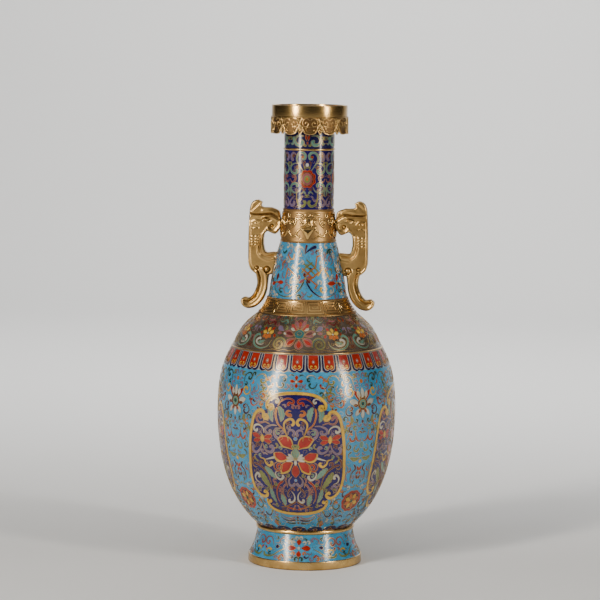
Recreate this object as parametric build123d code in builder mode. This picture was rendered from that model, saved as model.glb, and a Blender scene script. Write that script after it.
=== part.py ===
from build123d import *
import math
import os

os.makedirs("parts", exist_ok=True)

# Cloisonne bottle vase: enamelled copper in three raised sections, joined and trimmed with
# gilt bronze. Origin at the centre of the foot, +Z up, decoration facing -Y, handles on X.
# All sizes in millimetres.

# ---- driving dimensions --------------------------------------------------------------------
TOTAL_HEIGHT = 300.0
ENAMEL = 1.0            # thickness of the enamel skin
COPPER = 1.2            # thickness of the copper under it
PROUD = 0.35            # how far a gilt trim ring stands out of the enamel

# heights at which one trim or enamel zone ends and the next begins
FOOT_RIM_TOP = 5.7
FOOT_TOP = 22.3
BODY_BOTTOM = 25.0
LAPPET_BOTTOM = 131.8
SHOULDER_RING_BOTTOM = 142.2
SHOULDER_RING_TOP = 143.2
COLLAR_BOTTOM = 165.0
CORE_SEAM = 169.5       # hidden seam between body copper and neck bell, under the collar
COLLAR_TOP = 175.2
BELL_TOP = 211.0
BAND_TOP = 232.8
NECK_RING_BOTTOM = 270.7
NECK_RING_TOP = 272.1
NECK_CORE_TOP = 286.0
CUP_BOTTOM = 283.6
SKIRT_BOTTOM = 281.2
SKIRT_TOP = 292.6

# radii of the turned pieces
FOOT_RIM_R = 37.2
FOOT_RECESS_R = 32.6
NECK_R = 16.3
BAND_BELLY_R = 17.5
CUP_R = 24.7
CUP_WALL = 1.9
SKIRT_R = 25.4
SKIRT_SEAT_R = 24.0

# outside of the enamel from the foot joint to the top of the bell, as (radius, height)
WAIST_PROFILE = [
    (31.6, 25.0), (36.4, 30.0), (44.0, 40.0), (50.9, 54.0), (55.8, 72.0), (58.1, 94.0),
    (57.9, 113.0), (54.1, 132.0), (47.5, 146.0), (38.2, 159.5), (31.8, 165.0), (28.4, 169.5),
    (25.8, 175.2), (24.6, 182.0), (23.0, 191.5), (20.9, 201.0), (18.2, 211.0),
]
FOOT_PROFILE = [(31.2, 22.3), (32.1, 17.5), (34.0, 11.0), (36.6, 5.7)]

# decoration
PANELS = ["front", "right", "back", "left"]
FRAME_WIDTH = 1.9
RUYI_HEADS = 12
RUYI_PHASE = 7.5        # turn of the first ruyi head from the front, in degrees

# handles, both cut from the same drawing in the X-Z plane
HANDLE_THICKNESS = 7.0
PIN_R = 1.1
UPPER_PIN_Z = 222.4
LOWER_PIN_Z = 196.5
UPPER_PIN_ENDS = (13.2, 22.0)
LOWER_PIN_ENDS = (17.2, 28.0)


def inset(profile, thickness):
    """Moves an outside profile inwards by a wall thickness, keeping each point's height."""
    moved = []
    for i, (r, z) in enumerate(profile):
        r0, z0 = profile[max(i - 1, 0)]
        r1, z1 = profile[min(i + 1, len(profile) - 1)]
        slope = (r1 - r0) / (z1 - z0)
        moved.append((r - thickness * math.hypot(1.0, slope), z))
    return moved


def facing(turn):
    """The upright plane through the axis whose normal is the front turned by some degrees."""
    a = math.radians(turn)
    return Plane(origin=(0, 0, 0), x_dir=(math.cos(a), math.sin(a), 0),
                 z_dir=(math.sin(a), -math.cos(a), 0))


# turned surfaces start and end midway between two cartouches, clear of the cuts
SEAM = facing(45)


def turned(profile, bottom, top):
    """A solid turned from the axis out to a smooth profile, between two heights."""
    with BuildPart() as blank:
        with BuildSketch(SEAM):
            with BuildLine():
                edge = Spline(*profile)
                Polyline(edge @ 1, (0, profile[-1][1]), (0, profile[0][1]), edge @ 0)
            make_face()
        revolve(axis=Axis.Z)
        split(bisect_by=Plane.XY.offset(bottom), keep=Keep.TOP)
        split(bisect_by=Plane.XY.offset(top), keep=Keep.BOTTOM)
    return blank.part


def ring(outer, inner, bottom, top):
    """A plain ring with square edges."""
    with BuildPart() as blank:
        with BuildSketch(Plane.XY.offset(bottom)):
            Circle(outer)
            Circle(inner, mode=Mode.SUBTRACT)
        extrude(amount=top - bottom)
    return blank.part


def bead(radius, height, size):
    """A round bead turned on the edge of a trim ring."""
    with BuildPart() as blank:
        with BuildSketch(Plane.XZ):
            with Locations((radius, height)):
                Circle(size)
        revolve(axis=Axis.Z)
    return blank.part


def finish(piece, name):
    """Labels a finished piece and writes it to its own file."""
    piece.part.label = name
    export_step(piece.part, f"parts/{name}.step")


# solids that several pieces are cut from
PROFILE_BOTTOM = WAIST_PROFILE[0][1]
CORE_PROFILE = inset(WAIST_PROFILE, ENAMEL)
LINING_PROFILE = inset(WAIST_PROFILE, ENAMEL + COPPER)
waist_outside = turned(WAIST_PROFILE, PROFILE_BOTTOM, BELL_TOP)
core_outside = turned(CORE_PROFILE, PROFILE_BOTTOM, BELL_TOP)
core_inside = turned(LINING_PROFILE, PROFILE_BOTTOM + COPPER, BELL_TOP)
enamel_skin = waist_outside - core_outside
NECK_CORE_R = NECK_R - ENAMEL
NECK_BORE_R = NECK_CORE_R - COPPER

# pins that hold the handles, and the holes they pass through
with BuildPart() as handle_pins:
    for side in (-1, 1):
        for height, ends in ((UPPER_PIN_Z, UPPER_PIN_ENDS), (LOWER_PIN_Z, LOWER_PIN_ENDS)):
            start = Plane(origin=(side * ends[0], 0, height), z_dir=(side, 0, 0))
            with BuildSketch(start):
                Circle(PIN_R)
            extrude(amount=ends[1] - ends[0])
finish(handle_pins, "handle_pins")

# ---- foot ----------------------------------------------------------------------------------
foot_outside = turned(FOOT_PROFILE, FOOT_RIM_TOP, FOOT_TOP)
foot_core_outside = turned(inset(FOOT_PROFILE, ENAMEL), FOOT_RIM_TOP, FOOT_TOP)
foot_core_inside = turned(inset(FOOT_PROFILE, ENAMEL + COPPER), FOOT_RIM_TOP, FOOT_TOP)

# gilt bronze rim the vase stands on, hollow beneath, with a step inside for the base plate
with BuildPart() as foot_rim:
    with BuildSketch(Plane.XZ):
        with BuildLine():
            Polyline(
                (FOOT_RECESS_R, 0), (FOOT_RIM_R - 0.6, 0), (FOOT_RIM_R, 0.6),
                (FOOT_RIM_R, FOOT_RIM_TOP - 0.5), (FOOT_RIM_R - 0.5, FOOT_RIM_TOP),
                (FOOT_RECESS_R - 1.4, FOOT_RIM_TOP), (FOOT_RECESS_R - 1.4, 4.0),
                (FOOT_RECESS_R, 4.0), close=True,
            )
        make_face()
    revolve(axis=Axis.Z)
finish(foot_rim, "foot_rim")

# gilt copper plate closing the hollow foot, let into the rim against the step
with BuildPart() as base_plate:
    with BuildSketch(Plane.XY.offset(2.8)):
        Circle(FOOT_RECESS_R)
    extrude(amount=1.2)
finish(base_plate, "base_plate")

# flared copper wall of the foot
with BuildPart() as foot_core:
    add(foot_core_outside)
    add(foot_core_inside, mode=Mode.SUBTRACT)
finish(foot_core, "foot_core")

# turquoise enamel on the foot
with BuildPart() as foot_enamel:
    add(foot_outside)
    add(foot_core_outside, mode=Mode.SUBTRACT)
finish(foot_enamel, "foot_enamel")

# gilt fillet soldered between foot and body
with BuildPart() as foot_fillet:
    add(ring(31.6, 26.0, FOOT_TOP, BODY_BOTTOM))
    add(bead(31.3, (FOOT_TOP + BODY_BOTTOM) / 2, 0.9))
finish(foot_fillet, "foot_fillet")

# ---- body ----------------------------------------------------------------------------------
# raised copper body, closed at the bottom
with BuildPart() as body_core:
    add(core_outside)
    add(core_inside, mode=Mode.SUBTRACT)
    split(bisect_by=Plane.XY.offset(CORE_SEAM), keep=Keep.BOTTOM)
finish(body_core, "body_core")

# outline of one cartouche: a broad field with a lobe above and a lobe below it, drawn down
# its right side as (half width, height) arcs and mirrored
with BuildSketch(Plane.XZ) as cartouche:
    with BuildLine():
        ThreePointArc((0, 118.5), (9.0, 117.7), (16.4, 115.0))
        ThreePointArc((16.4, 115.0), (19.2, 112.0), (19.4, 107.4))
        ThreePointArc((19.4, 107.4), (26.4, 104.8), (29.2, 97.5))
        ThreePointArc((29.2, 97.5), (31.0, 78.0), (29.9, 60.0))
        ThreePointArc((29.9, 60.0), (27.2, 52.6), (20.3, 49.2))
        ThreePointArc((20.3, 49.2), (19.0, 44.6), (15.0, 41.0))
        ThreePointArc((15.0, 41.0), (7.8, 38.9), (0, 38.2))
        mirror(about=Plane.YZ)
    make_face()
with BuildSketch(Plane.XZ) as cartouche_outer:
    add(cartouche.sketch)
    offset(amount=FRAME_WIDTH / 2)
with BuildSketch(Plane.XZ) as cartouche_inner:
    add(cartouche.sketch)
    offset(amount=-FRAME_WIDTH / 2)
PRISM_REACH = 70.0
outer_prism = extrude(cartouche_outer.sketch, amount=PRISM_REACH)
inner_prism = extrude(cartouche_inner.sketch, amount=PRISM_REACH)

# turquoise enamel field, left open where the four cartouches sit
with BuildPart() as body_enamel:
    add(enamel_skin)
    split(bisect_by=Plane.XY.offset(LAPPET_BOTTOM), keep=Keep.BOTTOM)
    for k in range(len(PANELS)):
        add(outer_prism.rotate(Axis.Z, 90 * k), mode=Mode.SUBTRACT)
finish(body_enamel, "body_enamel")

# four cobalt cartouches and their yellow frames, a quarter turn apart
front_cut = enamel_skin & outer_prism
for k, side_name in enumerate(PANELS):
    with BuildPart() as panel:
        add((front_cut & inner_prism).rotate(Axis.Z, 90 * k))
    finish(panel, f"panel_{side_name}")
    with BuildPart() as panel_frame:
        add((front_cut - inner_prism).rotate(Axis.Z, 90 * k))
    finish(panel_frame, f"panel_frame_{side_name}")

# band of red lappets on the shoulder
with BuildPart() as lappet_band:
    add(enamel_skin)
    split(bisect_by=Plane.XY.offset(LAPPET_BOTTOM), keep=Keep.TOP)
    split(bisect_by=Plane.XY.offset(SHOULDER_RING_BOTTOM), keep=Keep.BOTTOM)
finish(lappet_band, "lappet_band")

# thin gilt ring between lappets and shoulder scrolls
SHOULDER_RING_R = 49.3
with BuildPart() as shoulder_ring:
    add(enamel_skin)
    add(bead(SHOULDER_RING_R, (SHOULDER_RING_BOTTOM + SHOULDER_RING_TOP) / 2, PROUD))
    split(bisect_by=Plane.XY.offset(SHOULDER_RING_BOTTOM), keep=Keep.TOP)
    split(bisect_by=Plane.XY.offset(SHOULDER_RING_TOP), keep=Keep.BOTTOM)
finish(shoulder_ring, "shoulder_ring")

# enamelled shoulder
with BuildPart() as shoulder_enamel:
    add(enamel_skin)
    split(bisect_by=Plane.XY.offset(SHOULDER_RING_TOP), keep=Keep.TOP)
    split(bisect_by=Plane.XY.offset(COLLAR_BOTTOM), keep=Keep.BOTTOM)
finish(shoulder_enamel, "shoulder_enamel")

# gilt bronze collar with the key fret, beaded at both edges
BEAD_R = 0.5
with BuildPart() as key_fret_collar:
    add(enamel_skin)
    add(bead(25.8, COLLAR_TOP - BEAD_R, BEAD_R))
    add(bead(31.2, COLLAR_BOTTOM + BEAD_R, BEAD_R))
    add(core_outside, mode=Mode.SUBTRACT)
    split(bisect_by=Plane.XY.offset(COLLAR_BOTTOM), keep=Keep.TOP)
    split(bisect_by=Plane.XY.offset(COLLAR_TOP), keep=Keep.BOTTOM)
finish(key_fret_collar, "key_fret_collar")

# ---- neck ----------------------------------------------------------------------------------
# bell-shaped copper lower neck
with BuildPart() as lower_neck_core:
    add(core_outside)
    add(core_inside, mode=Mode.SUBTRACT)
    split(bisect_by=Plane.XY.offset(CORE_SEAM), keep=Keep.TOP)
    add(handle_pins.part, mode=Mode.SUBTRACT)
finish(lower_neck_core, "lower_neck_core")

# turquoise enamel on the bell
with BuildPart() as lower_neck_enamel:
    add(enamel_skin)
    split(bisect_by=Plane.XY.offset(COLLAR_TOP), keep=Keep.TOP)
    add(handle_pins.part, mode=Mode.SUBTRACT)
finish(lower_neck_enamel, "lower_neck_enamel")

# cast and chased gilt band that joins bell and neck tube and takes the handles
BAND_FOOT_R = 18.0
BAND_HEAD_R = 16.4
with BuildPart() as chased_band:
    with BuildSketch(Plane.XZ):
        with BuildLine():
            belly = Spline(
                (BAND_FOOT_R, BELL_TOP), (BAND_BELLY_R, 221.0), (BAND_HEAD_R, BAND_TOP),
            )
            Polyline(belly @ 1, (NECK_CORE_R, BAND_TOP), (NECK_CORE_R, BELL_TOP), belly @ 0)
        make_face()
    revolve(axis=Axis.Z)
    add(bead(BAND_FOOT_R, BELL_TOP + BEAD_R, BEAD_R))
    add(bead(BAND_HEAD_R, BAND_TOP - BEAD_R, BEAD_R))
    add(handle_pins.part, mode=Mode.SUBTRACT)
finish(chased_band, "chased_band")

# copper tube of the upper neck
with BuildPart() as neck_core:
    add(ring(NECK_CORE_R, NECK_BORE_R, BELL_TOP, NECK_CORE_TOP))
    add(handle_pins.part, mode=Mode.SUBTRACT)
finish(neck_core, "neck_core")

# cobalt enamel on the upper neck
with BuildPart() as neck_enamel:
    add(ring(NECK_R, NECK_CORE_R, BAND_TOP, NECK_RING_BOTTOM))
finish(neck_enamel, "neck_enamel")

# thin gilt ring round the neck
with BuildPart() as neck_ring:
    add(ring(NECK_R + 0.2, NECK_CORE_R, NECK_RING_BOTTOM, NECK_RING_TOP))
    add(bead(NECK_R, (NECK_RING_BOTTOM + NECK_RING_TOP) / 2, 0.55))
finish(neck_ring, "neck_ring")

# enamelled band under the mouth
with BuildPart() as upper_neck_enamel:
    add(ring(NECK_R, NECK_CORE_R, NECK_RING_TOP, CUP_BOTTOM))
finish(upper_neck_enamel, "upper_neck_enamel")

# ---- mouth ---------------------------------------------------------------------------------
# gilt bronze dish mouth, its floor soldered round the top of the neck tube
with BuildPart() as mouth_cup:
    with BuildSketch(Plane.XZ):
        with BuildLine():
            Polyline(
                (NECK_CORE_R, CUP_BOTTOM), (SKIRT_SEAT_R - 1.0, CUP_BOTTOM),
                (SKIRT_SEAT_R, CUP_BOTTOM + 1.0), (SKIRT_SEAT_R, SKIRT_TOP),
                (CUP_R, SKIRT_TOP), (CUP_R, TOTAL_HEIGHT - 0.5),
                (CUP_R - 0.5, TOTAL_HEIGHT), (CUP_R - CUP_WALL + 0.5, TOTAL_HEIGHT),
                (CUP_R - CUP_WALL, TOTAL_HEIGHT - 0.5), (CUP_R - CUP_WALL, NECK_CORE_TOP + 3.0),
                (CUP_R - CUP_WALL - 3.0, NECK_CORE_TOP), (NECK_CORE_R, NECK_CORE_TOP),
                close=True,
            )
        make_face()
    revolve(axis=Axis.Z)
finish(mouth_cup, "mouth_cup")

# cast skirt of ruyi heads hung on the outside of the dish; the lower edge is cut into
# twelve broad lobes with a small pointed drop between each pair
HEAD_PITCH = 360 / RUYI_HEADS
NOTCH_SPREAD = 9.2      # angle from the middle of a drop to the notch on either side
NOTCH_HALF = 0.9
NOTCH_TOP = SKIRT_BOTTOM + 2.2
with BuildPart() as ruyi_skirt:
    add(ring(SKIRT_R, SKIRT_SEAT_R, SKIRT_BOTTOM, SKIRT_TOP))
    for k in range(RUYI_HEADS):
        for side in (-1, 1):
            turn = RUYI_PHASE + (k + 0.5) * HEAD_PITCH + side * NOTCH_SPREAD
            with BuildSketch(facing(turn)):
                with BuildLine():
                    Polyline(
                        (-NOTCH_HALF, SKIRT_BOTTOM), (0, NOTCH_TOP),
                        (NOTCH_HALF, SKIRT_BOTTOM), close=True,
                    )
                make_face()
            extrude(amount=SKIRT_R + 1.0, mode=Mode.SUBTRACT)
finish(ruyi_skirt, "ruyi_skirt")

# ---- handles -------------------------------------------------------------------------------
# a crested beast's head in profile over a thick curled tail, cut from one plate
with BuildPart() as handle_blank:
    with BuildSketch(Plane.XZ):
        with BuildLine():
            Spline((30.2, 236.2), (33.2, 237.8), (36.6, 236.4), (38.2, 233.0), (38.8, 228.0))
            Polyline((38.8, 228.0), (39.3, 212.0), (39.3, 197.0))
            ThreePointArc((39.3, 197.0), (37.8, 192.4), (34.0, 189.0))
            Spline(
                (34.0, 189.0), (33.2, 183.0), (35.2, 177.0), (38.2, 173.6), (41.6, 173.9),
                (43.9, 171.8), (43.0, 168.4), (39.3, 166.4), (34.0, 167.6), (29.3, 172.2),
                (26.9, 178.0), (26.1, 184.0), (25.5, 188.5),
            )
            Polyline((25.5, 188.5), (17.0, 192.0), (17.0, 203.8), (22.6, 203.8))
            ThreePointArc((22.6, 203.8), (27.6, 203.8), (29.2, 208.6))
            Polyline((29.2, 208.6), (29.2, 212.6))
            ThreePointArc((29.2, 212.6), (28.6, 215.6), (26.8, 217.4))
            ThreePointArc((26.8, 217.4), (21.5, 215.6), (18.2, 219.4))
            Polyline((18.2, 219.4), (15.6, 220.6), (15.6, 224.2), (18.0, 225.4))
            ThreePointArc((18.0, 225.4), (19.2, 230.6), (24.0, 232.9))
            Polyline((24.0, 232.9), (29.3, 233.0))
            ThreePointArc((29.3, 233.0), (30.9, 234.0), (30.2, 236.2))
        make_face()
    extrude(amount=HANDLE_THICKNESS / 2, both=True)
    add(waist_outside, mode=Mode.SUBTRACT)
    add(chased_band.part, mode=Mode.SUBTRACT)
    add(neck_core.part, mode=Mode.SUBTRACT)
    add(handle_pins.part, mode=Mode.SUBTRACT)

with BuildPart() as handle_right:
    add(handle_blank.part)
finish(handle_right, "handle_right")

with BuildPart() as handle_left:
    add(handle_blank.part.mirror(Plane.YZ))
finish(handle_left, "handle_left")
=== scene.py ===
import math

import bpy
import numpy as np
from mathutils import Matrix, Vector
from mathutils.geometry import delaunay_2d_cdt


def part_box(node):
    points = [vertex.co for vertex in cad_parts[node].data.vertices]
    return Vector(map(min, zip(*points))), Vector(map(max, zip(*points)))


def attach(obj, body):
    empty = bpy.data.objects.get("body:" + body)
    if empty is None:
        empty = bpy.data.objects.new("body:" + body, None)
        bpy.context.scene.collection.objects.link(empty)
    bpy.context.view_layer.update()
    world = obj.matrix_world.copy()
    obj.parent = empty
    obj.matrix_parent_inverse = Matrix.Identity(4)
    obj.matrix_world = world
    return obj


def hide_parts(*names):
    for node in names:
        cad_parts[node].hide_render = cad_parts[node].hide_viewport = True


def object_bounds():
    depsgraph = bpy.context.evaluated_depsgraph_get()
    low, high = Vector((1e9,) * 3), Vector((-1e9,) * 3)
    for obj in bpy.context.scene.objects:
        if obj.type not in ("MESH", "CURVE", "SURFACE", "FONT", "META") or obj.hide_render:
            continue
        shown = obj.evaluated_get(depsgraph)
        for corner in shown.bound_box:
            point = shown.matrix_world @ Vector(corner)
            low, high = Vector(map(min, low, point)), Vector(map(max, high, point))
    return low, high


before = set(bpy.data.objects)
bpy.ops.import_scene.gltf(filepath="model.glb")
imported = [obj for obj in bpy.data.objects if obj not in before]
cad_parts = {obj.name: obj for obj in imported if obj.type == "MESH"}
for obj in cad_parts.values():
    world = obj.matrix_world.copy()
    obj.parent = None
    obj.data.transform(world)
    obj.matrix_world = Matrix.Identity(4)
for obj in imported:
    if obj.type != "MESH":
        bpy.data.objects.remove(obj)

# ---------------------------------------------------------------------------------------------
# The studio: a pale seamless sweep, two tall softboxes and a weak top light. The camera looks
# slightly down at the vase from a little to the right of its front.
# ---------------------------------------------------------------------------------------------
MM = 0.001
cad_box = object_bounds()
HEIGHT = cad_box[1][2] - cad_box[0][2]

CAMERA_AWAY = 5.75 * HEIGHT
CAMERA_UP = 1.15 * HEIGHT
AIM_UP = 0.5747 * HEIGHT
AIM_LEFT = 0.0166 * HEIGHT
CAMERA_TURN = math.radians(6.7)
CAMERA_ROLL = math.radians(0.636)
LENS = 158.9


def link(piece):
    """Puts an object into the scene."""
    bpy.context.scene.collection.objects.link(piece)
    return piece


def aim(place, target, roll=0.0):
    """A matrix that stands an object at a place, looking at a target down its own -Z."""
    forward = (target - place).normalized()
    across = forward.cross(Vector((0, 0, 1))).normalized()
    upward = across.cross(forward)
    side = across * math.cos(roll) + upward * math.sin(roll)
    top = upward * math.cos(roll) - across * math.sin(roll)
    turn = Matrix((side, top, -forward)).transposed().to_4x4()
    return Matrix.Translation(place) @ turn


camera = link(bpy.data.objects.new("camera", bpy.data.cameras.new("camera")))
camera.data.lens = LENS
camera.data.clip_start = 0.05
away = Vector((math.sin(CAMERA_TURN), -math.cos(CAMERA_TURN), 0))
right_hand = Vector((math.cos(CAMERA_TURN), math.sin(CAMERA_TURN), 0))
camera_place = away * CAMERA_AWAY + Vector((0, 0, CAMERA_UP))
aim_point = right_hand * -AIM_LEFT + Vector((0, 0, AIM_UP))
camera.matrix_world = aim(camera_place, aim_point, CAMERA_ROLL)
bpy.context.scene.camera = camera

SOFTBOX_AWAY = 1.5
WARM_WHITE = (1.0, 0.95, 0.88)


def softbox(name, turn, low, high, width, power):
    """A tall warm light standing round the vase, turned in degrees from the camera's side."""
    lamp = bpy.data.lights.new(name, "AREA")
    lamp.shape = "RECTANGLE"
    lamp.size = width
    lamp.size_y = high - low
    lamp.energy = power
    lamp.color = WARM_WHITE
    a = CAMERA_TURN + math.radians(turn)
    middle = Vector((0, 0, (low + high) / 2))
    stand = Vector((math.sin(a), -math.cos(a), 0)) * SOFTBOX_AWAY + middle
    link(bpy.data.objects.new(name, lamp)).matrix_world = aim(stand, middle)


def hung_light(name, size, power, place, target):
    """A square light hung over the sweep and turned to a target."""
    lamp = bpy.data.lights.new(name, "AREA")
    lamp.size = size
    lamp.energy = power
    link(bpy.data.objects.new(name, lamp)).matrix_world = aim(Vector(place), Vector(target))


softbox("softbox_left", -43, 0.16, 1.35, 0.17, 31)
softbox("softbox_right", 53, 0.16, 1.2, 0.13, 17)
hung_light("top_light", 1.6, 7, (0.2, -0.5, 1.9), (0, 0.01, 0))
hung_light("backdrop_light", 1.2, 34, (0, 0.7, 1.3), (0, 2.2, 0.5))

AIR_COLOUR = (0.60, 0.62, 0.65, 1)
AIR_STRENGTH = 0.05
world = bpy.data.worlds.new("studio_air")
world.use_nodes = True
world.node_tree.nodes["Background"].inputs["Color"].default_value = AIR_COLOUR
world.node_tree.nodes["Background"].inputs["Strength"].default_value = AIR_STRENGTH
bpy.context.scene.world = world


def mesh_piece(name, points, faces, smooth_under=35):
    """A mesh object in metres from points in millimetres, smooth except at sharp edges."""
    mesh = bpy.data.meshes.new(name)
    mesh.from_pydata((np.asarray(points, float) * MM).tolist(), [], faces)
    mesh.shade_smooth()
    mesh.set_sharp_from_angle(angle=math.radians(smooth_under))
    mesh.validate()
    return link(bpy.data.objects.new(name, mesh))


# the sweep in mm: a paper floor that curves up behind the vase
SWEEP_HALF = 2600.0
SWEEP_FRONT = -3200.0
SWEEP_BACK = 1500.0
SWEEP_CURVE = 700.0
SWEEP_TOP = 3200.0
CURVE_STEPS = 12
sweep_line = [(SWEEP_FRONT, 0.0), (SWEEP_BACK, 0.0)]
for k in range(1, CURVE_STEPS + 1):
    a = math.radians(90 * k / CURVE_STEPS)
    sweep_line.append((SWEEP_BACK + SWEEP_CURVE * math.sin(a), SWEEP_CURVE * (1 - math.cos(a))))
sweep_line.append((SWEEP_BACK + SWEEP_CURVE, SWEEP_TOP))
sweep_points = [(x, y, z) for y, z in sweep_line for x in (-SWEEP_HALF, SWEEP_HALF)]
sweep_faces = [(2 * k, 2 * k + 1, 2 * k + 3, 2 * k + 2) for k in range(len(sweep_line) - 1)]
sweep = mesh_piece("studio_sweep", sweep_points, sweep_faces, 60)
paper = bpy.data.materials.new("sweep_paper")
paper.use_nodes = True
paper_shader = paper.node_tree.nodes["Principled BSDF"]
paper_shader.inputs["Base Color"].default_value = (0.78, 0.78, 0.77, 1)
paper_shader.inputs["Roughness"].default_value = 0.75
sweep.data.materials.append(paper)

# ---------------------------------------------------------------------------------------------
# Foot rim and base plate: turned from cast bronze, fire-gilt and burnished. The rim carries the
# whole vase; the plate is let into its underside.
# ---------------------------------------------------------------------------------------------


def node_in(tree, kind, x, y, **values):
    """Adds a shader node and sets the named inputs or properties on it."""
    made = tree.nodes.new(kind)
    made.location = (x, y)
    for key, value in values.items():
        if hasattr(made, key):
            setattr(made, key, value)
        else:
            made.inputs[key.replace("_", " ")].default_value = value
    return made


def ramp_of(tree, x, y, *stops):
    """A colour ramp from (position, colour) stops."""
    made = tree.nodes.new("ShaderNodeValToRGB")
    made.location = (x, y)
    line = made.color_ramp
    while len(line.elements) < len(stops):
        line.elements.new(0.5)
    for stop, (place, colour) in zip(line.elements, stops):
        stop.position = place
        stop.color = (*colour, 1)
    return made


def gilding(name, bright, deep, painted_shade_colour, roughness, grain=900.0, wear=55.0):
    """Fire gilding: satin gold with uneven tone and a fine grain, with painted shade from an AO node
    darkening its recesses.
    """
    made = bpy.data.materials.new(name)
    made.use_nodes = True
    tree = made.node_tree
    shader = tree.nodes["Principled BSDF"]
    shader.inputs["Metallic"].default_value = 1.0
    where = node_in(tree, "ShaderNodeTexCoord", -1200, 0)
    cloud = node_in(tree, "ShaderNodeTexNoise", -1000, 120, Scale=wear, Detail=6.0, Roughness=0.6)
    tree.links.new(where.outputs["Object"], cloud.inputs["Vector"])
    tone = ramp_of(tree, -760, 120, (0.32, deep), (0.62, bright))
    tree.links.new(cloud.outputs["Fac"], tone.inputs["Fac"])
    # painted shade: the occlusion mixes the gold towards a dark colour in recesses and creases
    shade_occlusion = node_in(tree, "ShaderNodeAmbientOcclusion", -1000, -160, samples=6, Distance=0.0016)
    painted_shade_ramp = ramp_of(tree, -760, -160, (0.25, (0, 0, 0)), (0.85, (1, 1, 1)))
    tree.links.new(shade_occlusion.outputs["AO"], painted_shade_ramp.inputs["Fac"])
    mix = node_in(tree, "ShaderNodeMix", -420, 60, data_type="RGBA")
    mix.inputs[6].default_value = (*painted_shade_colour, 1)
    tree.links.new(painted_shade_ramp.outputs["Color"], mix.inputs[0])
    tree.links.new(tone.outputs["Color"], mix.inputs[7])
    tree.links.new(mix.outputs[2], shader.inputs["Base Color"])
    rub = node_in(tree, "ShaderNodeMapRange", -420, -240)
    rub.inputs["To Min"].default_value = roughness * 1.35
    rub.inputs["To Max"].default_value = roughness * 0.75
    tree.links.new(cloud.outputs["Fac"], rub.inputs["Value"])
    tree.links.new(rub.outputs["Result"], shader.inputs["Roughness"])
    fine = node_in(tree, "ShaderNodeTexNoise", -1000, -460, Scale=grain, Detail=3.0)
    tree.links.new(where.outputs["Object"], fine.inputs["Vector"])
    bump = node_in(tree, "ShaderNodeBump", -420, -460, Strength=0.12, Distance=0.0002)
    tree.links.new(fine.outputs["Fac"], bump.inputs["Height"])
    tree.links.new(bump.outputs["Normal"], shader.inputs["Normal"])
    return made


# the third colour of each gilding is the painted shade mixed into its recesses
gilt = gilding("gilt_satin", (0.70, 0.45, 0.16), (0.38, 0.22, 0.07), (0.05, 0.024, 0.008), 0.27)


def fit_out(piece, material, slot, *nodes):
    """Gives a piece its material, its body and the CAD nodes it stands for; the slot argument is not used.
    """
    if material:
        piece.data.materials.append(material)
    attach(piece, "root")
    if nodes:
        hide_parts(*nodes)
    return piece


# how many facets a turned piece has
ROUND = 256


def turned(name, section, smooth_under=28):
    """A closed ring turned on the lathe from a closed section of (radius, height) in mm."""
    section = np.asarray(section, float)
    count = len(section)
    turn = np.linspace(0, 2 * math.pi, ROUND, endpoint=False)
    x = np.outer(np.sin(turn), section[:, 0])
    y = -np.outer(np.cos(turn), section[:, 0])
    z = np.outer(np.ones(ROUND), section[:, 1])
    points = np.stack([x, y, z], axis=-1).reshape(-1, 3)
    faces = []
    for i in range(ROUND):
        here, there = i * count, (i + 1) % ROUND * count
        for j in range(count):
            k = (j + 1) % count
            faces.append((here + j, there + j, there + k, here + k))
    return mesh_piece(name, points, faces, smooth_under)


def rounded(corners, radius, steps=4):
    """Rounds each corner of a closed section by a small arc."""
    corners = np.asarray(corners, float)
    out = []
    for i, here in enumerate(corners):
        back, on = corners[i - 1] - here, corners[(i + 1) % len(corners)] - here
        cut = min(radius, 0.45 * np.linalg.norm(back), 0.45 * np.linalg.norm(on))
        a = here + back / np.linalg.norm(back) * cut
        b = here + on / np.linalg.norm(on) * cut
        for t in np.linspace(0, 1, steps + 1):
            out.append((1 - t) ** 2 * a + 2 * t * (1 - t) * here + t * t * b)
    return out


def span(node):
    """The lowest and the highest height of a CAD node, in mm."""
    low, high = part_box(node)
    return low[2] / MM, high[2] / MM


def reach(node):
    """The outside radius of a turned CAD node, in mm."""
    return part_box(node)[1][0] / MM


def coat(node, material):
    """Gives its material to a CAD node that shows as it is."""
    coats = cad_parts[node].data.materials
    coats.clear()
    coats.append(material)


RIM_WALL = 1.4
rim_r, rim_top = reach("foot_rim"), span("foot_rim")[1]
recess_r, plate_top = reach("base_plate"), span("base_plate")[1]
rim_section = rounded([
    (recess_r, 0), (rim_r, 0), (rim_r, rim_top), (recess_r - RIM_WALL, rim_top),
    (recess_r - RIM_WALL, plate_top), (recess_r, plate_top),
], 0.6)
fit_out(turned("foot_rim_turned", rim_section), gilt, "gilt_bronze", "foot_rim")
coat("base_plate", gilt)

# ---------------------------------------------------------------------------------------------
# Foot: a short flare of copper under turquoise enamel, with a red four-petalled flower below each
# cartouche. Enamel is glass, fired on in several fillings, stoned flush and polished. Its cells
# are walled by gilt wires that are bent to the drawing and soldered down.
# ---------------------------------------------------------------------------------------------


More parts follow.
